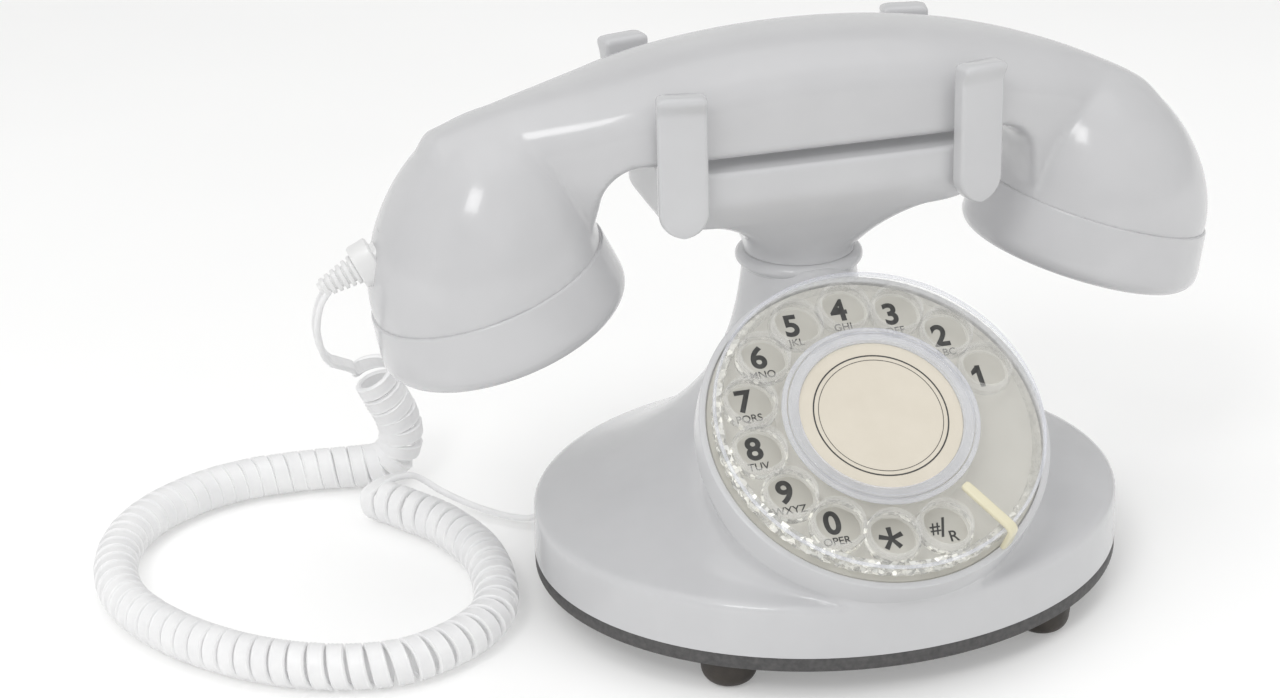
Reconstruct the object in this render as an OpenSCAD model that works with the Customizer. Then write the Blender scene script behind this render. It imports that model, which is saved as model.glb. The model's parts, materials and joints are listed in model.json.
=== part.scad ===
/* Small 1920s-style desk telephone: bell base with a rotary dial, saddle cradle and
   handset on a coiled cord. Millimetres, +Z up, dial towards -Y. The origin is on the
   table, at the middle of the telephone's box without its cord. */

/* [Base] */
// Width of the oval foot of the base
base_w = 149; // [145:1:155]
// Depth of the oval foot of the base
base_d = 131; // [128:1:135]
// How far the middle of the base lies behind the origin
base_y = 3.5; // [3:0.5:4]
// Height of the rubber feet below the plate
foot_h = 7.3; // [6:0.1:9]
// Thickness of the dark bottom plate
plate_t = 3.7; // [3:0.1:4.5]
// Height of the upright side wall of the base
side_h = 13; // [11:0.5:14]
// Wall thickness of the mouldings
wall = 2.5; // [2:0.1:3]

/* [Neck and cradle] */
// How far the neck and handset lie behind the origin
neck_y = 23.5; // [22:0.5:25]
// Radius of the neck at its top
neck_r = 14.5; // [14:0.5:16]
// Height of the top of the neck
neck_top = 78.5; // [77:0.5:79]
// Height of the saddle that the handset lies over
saddle_z = 109.5; // [109:0.5:110]
// Half the distance between the left and right prongs
prong_x = 37.2; // [36:0.2:38]
// Height of the prong tips
prong_top = 132.6; // [130:0.2:134]
// Travel of the hook plunger
hook_travel = 3.6; // [3:0.1:4]

/* [Dial] */
// Radius of the finger wheel
wheel_r = 40; // [39:0.5:40]
// Lean of the dial back from upright-facing, measured from the table
dial_lean = 36; // [34:1:38]
// Height of the middle of the finger wheel's front
dial_z = 60.4; // [60:0.2:61]
// Radius of the circle of finger holes
hole_circle_r = 30.9; // [30.5:0.1:31]
// Radius of a finger hole
hole_r = 5.6; // [5.4:0.1:5.7]
// Number of finger holes
hole_count = 12; // [10:1:12]
// Angle of the first finger hole
hole_start = 17.7; // [15:0.1:20]
// Angle between finger holes
hole_step = 24.2; // [24:0.1:24.4]
// Angle of the finger stop
stop_angle = 302; // [300:1:304]
// Teeth on the main gear of the dial
gear_teeth = 60; // [60:1:60]
// Teeth on the damper pinion
pinion_teeth = 12; // [12:1:12]

/* [Handset] */
// Distance from the middle of the handset to the middle of each cup
cup_x = 80.4; // [79:0.2:82]
// Height of the seam of a cup at its middle
cup_z = 84.3; // [84:0.1:85]
// Radius of a cup at its seam
cup_r = 29.9; // [29:0.1:30.5]
// Tilt of each cup towards the mouth and ear
cup_tilt = 17.6; // [16:0.2:19]
// Height of the screw-on cap below the seam
cap_h = 16.2; // [15:0.1:17]
// Height of the top of the handle
handle_top = 138.6; // [138:0.2:140]
// Height of the underside of the handle
handle_bottom = 112.6; // [112.4:0.1:113]
// Half the width of the handle
handle_half_w = 21.3; // [20:0.1:21.5]

/* [Cord] */
// Outer diameter of the coiled cord
coil_d = 12; // [11:0.5:12.5]
// Diameter of the straight cord
cord_d = 4; // [3.5:0.5:4]

/* [Hidden] */

$fn = 64;
eps = 0.01;
gap = 0.3;

plate_z = foot_h;
shell_z = plate_z + plate_t;
crease_z = shell_z + side_h;
base_a = base_w / 2;
base_b = base_d / 2;
foot_x = 40;
foot_dy = 46;
foot_r = 7;
boss_x = 52;
boss_dy = 20;
boss_r = 4;
boss_h = 21;
screw_r = 1.5;
flare_h = 15;
bell_sides = 48;
grommet_r = 2.45;
tail_r = 1.5;

collar_top = 82;
cradle_screw_dx = 9.6;
cradle_bore_r = 6.5;
guide_h = 5;
plunger_r = 2.5;
plunger_clear = 0.05;
plunger_top = handle_bottom - gap;
spring_foot_z = 88;

white = "#d2d2d4";
dark = "#4a4a4c";
rubber = "#2a2724";
brass = "#c9a24a";
steel = "#a9adb2";
clear = [0.92, 0.94, 0.96, 0.45];
cream = "#e5ddd0";
green = "#2e6b46";

cos_l = cos(dial_lean);
sin_l = sin(dial_lean);
dial_y = -(base_y + base_b) + wheel_r * cos_l;
plate_front = -6.5;
bezel_front = -5.9;
bezel_r = 42.4;
drum_bore_r = 40;
drum_front = -8.5;
drum_back = -14;
shoulder_foot_z = 28;
shoulder_head_z = 58;
frame_front = -9.5;
frame_t = 1.5;
frame_back = frame_front - frame_t;
lug_circle = 37.2;
shaft_r = 3;
shaft_clear = 0.05;
gear_m = 0.6;
gear_pitch = gear_m * gear_teeth / 2;
pinion_pitch = gear_m * pinion_teeth / 2;
gear_distance = gear_pitch + pinion_pitch;
gear_back = -17;
gear_t = 2;
backplate_back = -21;
pillar_circle = 28;

drop_path = [[-99.9, 85, 32.5], [-97.6, 85.5, 27], [-95, 86, 21], [-94, 86, 15.5],
             [-95, 86, 10.8], [-97.5, 86.2, 7.8], [-101.5, 86.5, 6.3]];
loop_path = [[-101.5, 86.5, 6.2], [-111, 88, 6.2], [-123, 89.5, 6.2], [-137, 89, 6.2],
             [-150, 85, 6.2], [-163, 76, 6.2], [-172, 63, 6.2], [-176, 46, 6.2],
             [-174, 28, 6.2], [-165, 10, 6.2], [-151, -6, 6.2], [-134, -17, 6.2],
             [-116, -21, 6.2], [-101, -16, 6.2], [-90, -6, 6.2], [-85.5, 8, 6.2],
             [-85, 27, 6.2], [-90.5, 45, 6.2], [-98, 57, 6.2], [-105, 66.5, 6.2]];
tail_path = [[-103, 67, 12], [-97.5, 69.8, 11.4], [-92.3, 70, 8.4], [-87.2, 67.2, 5],
             [-81, 61.7, 2.8], [-76, 56.5, 2.1], [-70.5, 51.2, 2], [-66, 48.8, 2.5],
             [-62.6, 49.2, 4.6], [-61.3, 50.9, 8.4], [-60.4, 51.7, 12.4], [-58.4, 50.3, 15],
             [-53, 44.9, 15]];
lead_path = [[-119, 23.5, 85.5], [-121.4, 24, 81.8], [-122.4, 26.5, 75.5], [-121.7, 31, 70],
             [-120, 38, 63], [-117, 48, 56], [-113.5, 58, 50.5], [-109.5, 69, 44.5],
             [-107, 77, 40.5], [-104.5, 83.5, 37.8]];

// Fraction of the way from the neck out to the rim, at a height above the crease
function flare(z) = let (end = exp((crease_z - neck_top) / flare_h))
    z <= crease_z ? 1 : max(0, (exp((crease_z - z) / flare_h) - end) / (1 - end));
function bell_ring(z, inset) = let (k = flare(z), draft = 0.02 * (z - shell_z),
    lean = z <= crease_z ? draft : 0.02 * side_h,
    a = neck_r + (base_a - neck_r) * k - inset - lean,
    b = neck_r + (base_b - neck_r) * k - inset - lean,
    y = neck_y + (base_y - neck_y) * k)
    [for (i = [0 : bell_sides - 1]) [a * cos(i * 360 / bell_sides),
                                     y + b * sin(i * 360 / bell_sides), z]];
function bell_levels(top) = concat([0, side_h - 1.2],
    [for (f = [0.02, 0.06, 0.12, 0.2, 0.3, 0.42, 0.56, 0.72, 0.88, 1])
        side_h + f * (top - crease_z)]);

// Closed surface through a stack of rings with the same number of points
module loft(rings) {
    n = len(rings[0]);
    m = len(rings);
    sides = [for (j = [0 : m - 2], i = [0 : n - 1], h = [0, 1])
        let (a = j * n + i, b = j * n + (i + 1) % n, c = b + n, d = a + n)
        h == 0 ? [a, c, b] : [a, d, c]];
    first = [for (i = [0 : n - 1]) i];
    last = [for (i = [0 : n - 1]) m * n - 1 - i];
    polyhedron(concat([for (r = rings) each r]), concat(sides, [first], [last]));
}

function unit(v) = v / norm(v);
function tangent(p, i) = unit(p[min(i + 1, len(p) - 1)] - p[max(i - 1, 0)]);
function side_of(t) = unit(cross(t, abs(t[2]) > 0.8 ? [0, 1, 0] : [0, 0, 1]));
function tube_ring(p, i, r, n, s) = let (t = tangent(p, i), u = unit(s - (s * t) * t), v = cross(t, u))
    [for (k = [0 : n - 1]) p[i] + r * (cos(k * 360 / n) * u + sin(k * 360 / n) * v)];

// Tube swept along a list of points, its seam kept to one side
module tube(p, r, n, s) {
    loft([for (i = [0 : len(p) - 1]) tube_ring(p, i, r, n, s)]);
}

module ellipse_plate(a, b, z, h) {
    k = b / a;
    steps = 96;
    translate([0, base_y, z])
        linear_extrude(h)
            polygon([for (i = [0 : steps - 1])
                [a * cos(i * 360 / steps), a * k * sin(i * 360 / steps)]]);
}

module on_dial() {
    translate([0, dial_y, dial_z]) rotate([dial_lean, 0, 0]) children();
}

module corners(dx, dy, y) {
    for (sx = [-1, 1], sy = [-1, 1]) translate([sx * dx, y + sy * dy, 0]) children();
}

module disc(r, z0, z1) {
    translate([0, 0, z0]) cylinder(r = r, h = z1 - z0);
}

module ring(ro, ri, z0, z1) {
    difference() {
        disc(ro, z0, z1);
        disc(ri, z0 - 1, z1 + 1);
    }
}

/* ---- base ---- */

exit_angle = 134.3;
exit_x = -55.3;
exit_y = 47.2;
exit_z = 15;

// Where the handset cord leaves the shell, local +X pointing out of the wall
module at_cord_exit() {
    translate([exit_x, exit_y, exit_z]) rotate([0, 0, exit_angle]) rotate([0, 90, 0]) children();
}

module bell(inset, top, z0) {
    loft([for (h = bell_levels(top)) bell_ring(max(shell_z + h, z0), inset)]);
}

// Horizontal slice of the bell, as a thin solid
module bell_slice(z, inset) {
    k = flare(z);
    translate([0, neck_y + (base_y - neck_y) * k, z])
        scale([neck_r + (base_a - neck_r) * k - inset, neck_r + (base_b - neck_r) * k - inset, 1])
            cylinder(r = 1, h = 0.5);
}

// Shoulder that carries the dial out of the front of the bell
module shoulder(inset) hull() {
    on_dial() disc(bezel_r - inset, drum_back, drum_front);
    intersection() {
        bell_slice(shoulder_foot_z, inset);
        translate([-50, -70, 0]) cube([100, 62, 100]);
    }
    intersection() {
        bell_slice(shoulder_head_z, inset);
        translate([-50, -70, 0]) cube([100, 86, 100]);
    }
}

module base_shell() color(white) {
    difference() {
        union() {
            bell(0, neck_top, shell_z);
            shoulder(0);
        }
        translate([0, 0, -eps]) bell(wall, neck_top - wall, shell_z);
        shoulder(wall);
        on_dial() disc(drum_bore_r, drum_back - 3, 0);
        translate([0, neck_y, neck_top - 10]) cylinder(r = cradle_bore_r, h = 20);
        for (s = [-1, 1])
            translate([s * cradle_screw_dx, neck_y, neck_top - 6]) cylinder(r = screw_r, h = 12);
        at_cord_exit() disc(grommet_r, -8, 8);
        translate([-7.8, 55, shell_z + 0.9]) cube([15.6, 20, 11.4]);
        translate([26, 50, shell_z + 2.5]) cube([9, 20, 5]);
    }
    difference() {
        intersection() {
            bell(wall / 4, neck_top, shell_z);
            corners(boss_x, boss_dy, base_y)
                translate([0, 0, shell_z + 0.05]) cylinder(r = boss_r, h = boss_h);
        }
        corners(boss_x, boss_dy, base_y)
            translate([0, 0, shell_z - 1]) cylinder(r = screw_r, h = 14);
    }
    on_dial() for (a = [90, 210, 330]) rotate([0, 0, a]) difference() {
        translate([lug_circle, 0, frame_back - 5]) cylinder(r = 3.4, h = 5);
        translate([lug_circle, 0, frame_back - 6]) cylinder(r = 0.95, h = 12);
    }
}

module base_plate() color(dark) difference() {
    ellipse_plate(base_a, base_b, plate_z, plate_t);
    corners(boss_x, boss_dy, base_y) {
        translate([0, 0, plate_z - 1]) cylinder(r = screw_r + 0.2, h = plate_t + 2);
        translate([0, 0, plate_z - 1]) cylinder(r = 3.2, h = 2.5);
    }
    corners(foot_x, foot_dy, base_y) translate([0, 0, plate_z - 1]) cylinder(r = 2, h = 2.8);
}

module base_feet() color(rubber) corners(foot_x, foot_dy, base_y) {
    rotate_extrude() polygon(concat([[0, plate_z], [0, 0]],
        [for (a = [0 : 15 : 90]) [3.4 + 3.4 * sin(a), 4 - 4 * cos(a)]],
        [[foot_r, plate_z]]));
    translate([0, 0, plate_z - eps]) cylinder(r = 1.95, h = 1.7);
}

module plate_screws() color(steel) corners(boss_x, boss_dy, base_y) {
    translate([0, 0, plate_z]) cylinder(r = 3, h = 1.45);
    translate([0, 0, plate_z + 1.4]) cylinder(r = screw_r, h = 12);
}

module ballast_weight() color(steel) translate([-44, base_y - 26, shell_z + 0.05])
    difference() {
        cube([30, 36, 8]);
        translate([15, 18, -1]) cylinder(r = 2, h = 12);
    }

module main_board() color(green) difference() {
    translate([-20, 20, shell_z + 4]) cube([40, 30, 1.6]);
    for (x = [-16, 16], y = [24, 46]) translate([x, y, shell_z]) cylinder(r = 1.6, h = 10);
}

module board_standoffs() color(brass) for (x = [-16, 16], y = [24, 46])
    translate([x, y, shell_z]) {
        cylinder(r = 2.6, h = 4);
        cylinder(r = 1.5, h = 6.6);
    }

module sounder() color("black") translate([36, 4, shell_z]) difference() {
    cylinder(r = 11, h = 9);
    translate([0, 0, 6]) cylinder(r = 1.5, h = 4);
}

module sounder_ring() color(steel) translate([36, 4, shell_z])
    ring(13, 11.1, 0, 3);

module jack_block(w, h, depth, bore_w, bore_h) {
    difference() {
        translate([-depth, -w / 2, -h / 2]) cube([depth, w, h]);
        translate([-depth + 3, -bore_w / 2, -bore_h / 2]) cube([depth, bore_w, bore_h]);
    }
}

module cord_grommet() color(rubber) at_cord_exit() difference() {
    union() {
        disc(grommet_r - 0.05, -3.8, 0.5);
        disc(grommet_r + 1.1, -5, -3.7);
        translate([0, 0, 0.4]) cylinder(r1 = grommet_r - 0.1, r2 = 1.9, h = 4);
    }
    disc(tail_r + 0.06, -10, 10);
}

module cord_clamp() color(steel) at_cord_exit() {
    difference() {
        disc(3, -8, -5.1);
        disc(tail_r + 0.06, -12, 12);
    }
}

module line_jack() color("#3a3a3c")
    translate([0, 68, shell_z + 6.6]) rotate([0, 0, 90]) jack_block(15, 11, 14, 10.4, 7);

module ringer_switch_body() color("#3a3a3c") difference() {
    translate([23, 49.5, shell_z + 0.05]) cube([15, 4.5, 8.75]);
    translate([27.7, 51.7, shell_z + 3.2]) cube([6.2, 4, 3.6]);
}

module ringer_switch_knob() color("#1c1c1e") {
    translate([28.1, 52, shell_z + 3.6]) cube([2.2, 8, 2.8]);
    translate([27.2, 59.8, shell_z + 3.2]) cube([4, 5.7, 3.6]);
}

/* ---- neck, cradle and hook ---- */

module neck_collar() color(white) translate([0, neck_y, 0]) difference() {
    rotate_extrude() union() {
        translate([neck_r, 80.3]) circle(r = 1.6);
        translate([0, neck_top]) square([neck_r, collar_top - neck_top]);
        translate([neck_r - 0.3, 79.2]) square([0.9, 2]);
    }
    translate([0, 0, 70]) cylinder(r = cradle_bore_r, h = 20);
    for (s = [-1, 1]) translate([s * cradle_screw_dx, 0, 70]) cylinder(r = screw_r + 0.1, h = 20);
}

cradle_sides = 40;
fillet_h = 14;
edge_r = 2.5;
saddle_a = 40;
saddle_b = 24;
saddle_rise = 22;
cradle_heights = [0, 4.8, 9, 11.5, 13, 13.8, fillet_h, 14.7, fillet_h + edge_r, 22, saddle_z - collar_top];

function ease(t) = let (u = min(1, t)) u * u * (3 - 2 * u);
function super_pt(a, b, e, t) = [a * sign(cos(t)) * pow(abs(cos(t)), 2 / e),
                                 b * sign(sin(t)) * pow(abs(sin(t)), 2 / e)];
// Half width and half depth of the cradle at a height above the round neck
function cradle_a(h) = let (flat = saddle_a - edge_r)
    h <= fillet_h ? 14 + (flat - 14) * (1 - sqrt(max(0, 1 - pow(h / fillet_h, 2))))
    : flat + sqrt(max(0, edge_r * edge_r - pow(max(0, fillet_h + edge_r - h), 2)));
function cradle_b(h) = 14 + (saddle_b - 14) * ease(h / saddle_rise);
function cradle_e(h) = 2 + 5 * ease(h / fillet_h);
function cradle_ring(h) = [for (i = [0 : cradle_sides - 1])
    let (p = super_pt(cradle_a(h), cradle_b(h), cradle_e(h), i * 360 / cradle_sides))
    [p[0], neck_y + p[1], collar_top + h]];

prong_w = 12;
prong_t = 4.6;
prong_dy = 25.4;
prong_turn = 12;
prong_foot_z = 97.5;

// One prong: an upright bar with rounded foot and a lip that flares outward at the top
module prong() {
    translate([-prong_w / 2, -prong_t / 2, 0]) union() {
        translate([prong_w / 2, 0, prong_foot_z + prong_w / 2])
            rotate([-90, 0, 0]) cylinder(r = prong_w / 2, h = prong_t);
        translate([0, 0, prong_foot_z + prong_w / 2])
            cube([prong_w, prong_t, prong_top - prong_foot_z - prong_w / 2]);
        translate([prong_w, 0, prong_top - 4]) rotate([0, -90, 0])
            linear_extrude(prong_w) polygon([[0, 0], [4, -1.6], [4, 0.1], [0, 0.1]]);
    }
}

module cradle() color(white) difference() {
    union() {
        loft([for (h = cradle_heights) cradle_ring(h)]);
        for (sx = [-1, 1], sy = [-1, 1])
            translate([sx * prong_x, neck_y + sy * prong_dy, 0])
                rotate([0, 0, (sy < 0 ? 0 : 180) + sx * sy * -prong_turn]) prong();
    }
    translate([0, neck_y, 70]) cylinder(r = cradle_bore_r, h = saddle_z - guide_h - 70);
    translate([0, neck_y, 90]) cylinder(r = plunger_r + plunger_clear, h = 30);
    for (s = [-1, 1]) translate([s * cradle_screw_dx, neck_y, 70])
        cylinder(r = screw_r, h = 20);
}

module cradle_screws() color(steel) for (s = [-1, 1])
    translate([s * cradle_screw_dx, neck_y, 0]) {
        translate([0, 0, 74]) cylinder(r = 2.2, h = 2);
        translate([0, 0, 76 - eps]) cylinder(r = screw_r - 0.05, h = 12);
    }

module hook_plunger() color(white) translate([0, neck_y, 0]) {
    translate([0, 0, 89]) cylinder(r = plunger_r, h = plunger_top - 1.5 - 89);
    intersection() {
        translate([0, 0, plunger_top - 5]) sphere(r = 5);
        translate([0, 0, plunger_top - 1.6]) cylinder(r = 4, h = 3);
    }
    translate([0, 0, 98.5]) cylinder(r = 5, h = 1.6);
}

module hook_spring() color(steel) translate([0, neck_y, 0])
    for (i = [0 : 4]) translate([0, 0, spring_foot_z + 0.5 + i * 2.3])
        rotate_extrude() translate([4, 0]) circle(r = 0.45);

module hook_switch() color("black") translate([0, neck_y, 0]) {
    difference() {
        union() {
            translate([-5.5, -3, 74]) cube([11, 6, 9.5]);
            translate([0, 0, 80]) cylinder(r = cradle_bore_r - 0.1, h = 1.5);
        }
        translate([0, 0, 72]) cylinder(r = 1.2, h = 4);
    }
    difference() {
        translate([0, 0, 83.4]) cylinder(r = 5.4, h = spring_foot_z - 83.4);
        translate([0, 0, 84.4]) cylinder(r = plunger_r + 0.3, h = 10);
    }
}

/* ---- dial ---- */

module dial_bezel() color(white) on_dial() difference() {
    union() {
        disc(bezel_r, bezel_front - 2.55, bezel_front - 1);
        translate([0, 0, bezel_front - 1])
            cylinder(r1 = bezel_r, r2 = bezel_r - 0.9, h = 1);
    }
    disc(40.7, -20, 5);
}

module number_plate() color("#c9c9c0") on_dial() ring(40.5, 7.5, plate_front - 2, plate_front);

module finger_stop() color("#e4dfc8") on_dial() rotate([0, 0, stop_angle]) {
    translate([25.5, -1.3, 0.7]) cube([16, 2.6, 1.6]);
    translate([40.5, -1.9, bezel_front - 0]) cube([1.6, 3.8, 8.2]);
}

module dial_frame() color(steel) on_dial() difference() {
    union() {
        disc(35.6, frame_back, frame_front);
        for (a = [90, 210, 330]) rotate([0, 0, a]) translate([lug_circle, 0, frame_back])
            cylinder(r = 2.7, h = 1.5);
        disc(6.5, frame_front - 4, -7);
    }
    disc(shaft_r + shaft_clear, -30, 5);
    translate([gear_distance, 0, -30]) cylinder(r = 1.05, h = 40);
    for (a = [90, 210, 330]) rotate([0, 0, a]) translate([lug_circle, 0, -30])
        cylinder(r = 1.1, h = 40);
    for (a = [30, 150, 270]) rotate([0, 0, a]) translate([pillar_circle, 0, -30])
        cylinder(r = 1.2, h = 40);
}

module dial_screws() color(steel) on_dial() for (a = [90, 210, 330]) rotate([0, 0, a])
    translate([lug_circle, 0, 0]) {
        translate([0, 0, frame_front]) cylinder(r = 1.9, h = 0.8);
        translate([0, 0, -14]) cylinder(r = 0.9, h = 14 + frame_front + eps);
    }

module dial_back_plate() color(steel) on_dial() difference() {
    union() {
        disc(pillar_circle + 2.5, backplate_back, backplate_back + 1.5);
        disc(5.5, backplate_back - 1.5, backplate_back + 2.5);
    }
    disc(shaft_r + shaft_clear, -40, 5);
    translate([gear_distance, 0, -40]) cylinder(r = 1.05, h = 40);
    for (a = [30, 150, 270]) rotate([0, 0, a]) translate([pillar_circle, 0, -40])
        cylinder(r = 1.2, h = 60);
}

module dial_pillars() color(brass) on_dial() for (a = [30, 150, 270]) rotate([0, 0, a])
    translate([pillar_circle, 0, 0]) {
        translate([0, 0, backplate_back + 1.5]) cylinder(r = 2.2, h = frame_back - backplate_back - 1.5);
        translate([0, 0, backplate_back]) cylinder(r = 1.15, h = frame_front - backplate_back);
    }

module dial_shaft() color(brass) on_dial() {
    disc(shaft_r, -27, -3);
    disc(8, -3, -1.9);
}

function hole_angle(i) = hole_start + i * hole_step;

module finger_wheel() color(clear) on_dial() difference() {
    union() {
        disc(wheel_r, -1.9, 0);
        ring(wheel_r, wheel_r - 1.5, -5, -1.8);
        for (i = [0 : hole_count - 1]) rotate([0, 0, hole_angle(i)])
            translate([hole_circle_r, 0, 0]) translate([0, 0, -4]) cylinder(r = hole_r + 0.75, h = 4);
        ring(23.4, 22.4, -3, 0.6);
    }
    for (i = [0 : hole_count - 1]) rotate([0, 0, hole_angle(i)])
        translate([hole_circle_r, 0, -8]) cylinder(r = hole_r, h = 12);
    disc(8.05, -8, -1.85);
    disc(shaft_r + 0.02, -8, 5);
    disc(22.4, -0.5, 5);
}

module number_card() color(cream) on_dial() disc(20, -0.5, 0);

module card_retainer() color(clear) on_dial() difference() {
    disc(22.3, -0.5, 1.3);
    disc(20.1, -1, 0.05);
    translate([0, 0, 0.7]) cylinder(r1 = 19.5, r2 = 20.7, h = 1);
}

// Involute tooth outline from its base circle to its tip
function inv(a) = tan(a) * 180 / PI - a;
function tooth_half(r, teeth, pitch, backlash) = let (base = pitch * cos(20))
    90 / teeth - backlash * 90 / (PI * pitch) + inv(20) - inv(acos(min(1, base / r)));
module gear2d(teeth, m, add, ded, backlash) {
    pitch = m * teeth / 2;
    base = pitch * cos(20);
    root = pitch - ded;
    tip = pitch + add;
    low = max(base, root);
    radii = [for (k = [0 : 3]) low + (tip - low) * k / 3];
    polygon([for (i = [0 : teeth - 1]) let (c = i * 360 / teeth) each concat(
        [root * [cos(c - tooth_half(low, teeth, pitch, backlash)),
                 sin(c - tooth_half(low, teeth, pitch, backlash))]],
        [for (r = radii) r * [cos(c - tooth_half(r, teeth, pitch, backlash)),
                              sin(c - tooth_half(r, teeth, pitch, backlash))]],
        [for (k = [3 : -1 : 0]) let (r = radii[k]) r * [cos(c + tooth_half(r, teeth, pitch, backlash)),
                              sin(c + tooth_half(r, teeth, pitch, backlash))]],
        [root * [cos(c + tooth_half(low, teeth, pitch, backlash)),
                 sin(c + tooth_half(low, teeth, pitch, backlash))]])]);
}

module main_gear() color(brass) on_dial() difference() {
    union() {
        translate([0, 0, gear_back]) linear_extrude(gear_t) gear2d(gear_teeth, gear_m, 0.35, 0.85, 0.14);
        disc(5, gear_back - 1, gear_back + gear_t + 0.5);
    }
    disc(shaft_r + 0.02, -30, 0);
    for (a = [0 : 60 : 300]) rotate([0, 0, a]) translate([11, 0, -30]) cylinder(r = 3, h = 30);
}

module return_spring() color(steel) on_dial() {
    for (i = [0 : 3]) ring(7.6 + i * 1.9, 7.1 + i * 1.9, -13.7, -11.9);
    for (i = [0 : 2]) rotate([0, 0, i * 120])
        translate([7.3 + i * 1.9, -0.25, -13.7]) cube([2, 0.5, 1.8]);
}

module damper_pinion() color(brass) on_dial() translate([gear_distance, 0, 0]) {
    translate([0, 0, gear_back - 0.2]) linear_extrude(gear_t + 0.4)
        rotate([0, 0, 180 + 180 / pinion_teeth])
            gear2d(pinion_teeth, gear_m, 0.55, 0.7, 0.14);
    disc(1, -24.4, frame_front - 0.3);
    disc(3.4, -24.4, -22.4);
}

module damper_cup() color("#3a3a3c") on_dial() translate([gear_distance, 0, 0]) difference() {
    disc(6, -26, backplate_back - 0.02);
    disc(4.2, -25, -20);
}

module pulse_cam() color(white) on_dial() difference() {
    translate([0, 0, -25]) linear_extrude(1.8)
        difference() {
            circle(r = 9);
            for (i = [0 : 11]) rotate([0, 0, i * 24]) translate([9.3, 0]) circle(r = 1.1, $fn = 24);
        }
    disc(shaft_r + 0.02, -30, 0);
}

module pulse_contacts() color(brass) on_dial() rotate([0, 0, 150]) {
    translate([11.5, -4, -25]) cube([5, 8, 25 + backplate_back - 0.02]);
    translate([9.6, -0.6, -24.6]) cube([2, 1.2, 1.2]);
}

/* ---- handset ---- */

handle_drop2 = 0.0023;
handle_drop4 = 6e-8;
handle_end = 93;
handle_half_l = 102.5;
handle_sides = 32;
handle_e = 2.3;
underside_x = 47.5;
underside_r = 6.5;
tip_z = 90;
root_z = 81;
left_lift = 6.3;
taper = 0.36;
handle_stations_in = [0, 13, 26, 38, 47.5, 50.8, 52.8, 54, 55.5, 57.5, 63, 72, 82, 93];

// Top line of the handle, which stays higher towards the left end
function arch(x) = handle_top - handle_drop2 * x * x - handle_drop4 * x * x * x * x
    + left_lift * pow(min(1, max(0, (-x - 52) / 40)), 1.6);
function handle_z1(x, inset) = let (l = handle_half_l - inset, u = (abs(x) - handle_end) / (l - handle_end))
    abs(x) <= handle_end ? arch(x) - inset
    : tip_z + (arch(sign(x) * handle_end) - inset - tip_z) * sqrt(max(0, 1 - u * u));
function handle_z0(x, inset) = let (d = abs(x) - inset - underside_x, r = underside_r)
    d <= 0 ? handle_bottom + inset
    : max(root_z, handle_bottom + inset - (d < r ? r - sqrt(r * r - d * d) : r + (d - r) * 8));
function handle_w(x, inset) = let (u = max(0, abs(x) - handle_end) / (handle_half_l - inset - handle_end))
    (handle_half_w - inset) * (1 - taper * ease(max(0, abs(x) - 38) / 50)) * sqrt(1 - 0.55 * u * u);
function handle_ring(x, inset) = let (z1 = handle_z1(x, inset), z0 = handle_z0(x, inset))
    [for (i = [0 : handle_sides - 1])
        let (p = super_pt(handle_w(x, inset), (z1 - z0) / 2, handle_e, i * 360 / handle_sides))
        [x, neck_y + p[0], (z1 + z0) / 2 + p[1]]];
function handle_half(l) = concat(handle_stations_in,
    [for (k = [1 : 3]) handle_end + (l - handle_end) * sin(30 * k) * 0.995]);
function handle_stations(l) = let (h = handle_half(l), n = len(h))
    [for (i = [-(n - 1) : n - 1]) sign(i) * h[abs(i)]];

module handle(inset) {
    loft([for (x = handle_stations(handle_half_l - inset)) handle_ring(x, inset)]);
}

function dome_h(s) = s < 0 ? 38 : 32;
module at_cup(s) {
    translate([s * cup_x, neck_y, cup_z]) rotate([0, s * cup_tilt, 0]) children();
}
dome_steps = 12;
function dome_profile(r, h) = [for (k = [0 : dome_steps]) let (w = 1 - pow(1 - k / dome_steps, 1.6))
    [r * sqrt(1 - pow(w, 1.2)), h * w]];
module dome(r, h) {
    rotate_extrude() polygon(concat([[0, 0]], dome_profile(r, h)));
}

module handset_shell() color(white) difference() {
    union() {
        difference() {
            handle(0);
            for (s = [-1, 1]) at_cup(s) translate([-60, -60, -60]) cube([120, 120, 60]);
        }
        for (s = [-1, 1]) at_cup(s) dome(cup_r - 0.5, dome_h(s));
    }
    difference() {
        handle(2.6);
        for (s = [-1, 1]) at_cup(s) translate([-60, -60, -60]) cube([120, 120, 62]);
    }
    for (s = [-1, 1]) at_cup(s) translate([0, 0, -eps]) dome(cup_r - 0.5 - wall, dome_h(s) - wall);
    at_handset_jack() translate([-14, -5, -6]) cube([20, 10, 12]);
}

plug_tilt = 25;
jack_point = [-107.2, 23.5, 91.8];
module at_handset_jack() {
    translate(jack_point) rotate([0, plug_tilt, 180]) children();
}

// Socket of the handset cord, whose mouth follows the dome
module handset_jack() color("#3a3a3c") intersection() {
    at_handset_jack() difference() {
        translate([-11.8, -4.8, -5.8]) cube([11, 9.6, 11.6]);
        translate([-8.8, -3.9, -3.4]) cube([12, 7.8, 6.8]);
    }
    at_cup(-1) dome(cup_r - 0.9, dome_h(-1) - 0.5);
}

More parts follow.
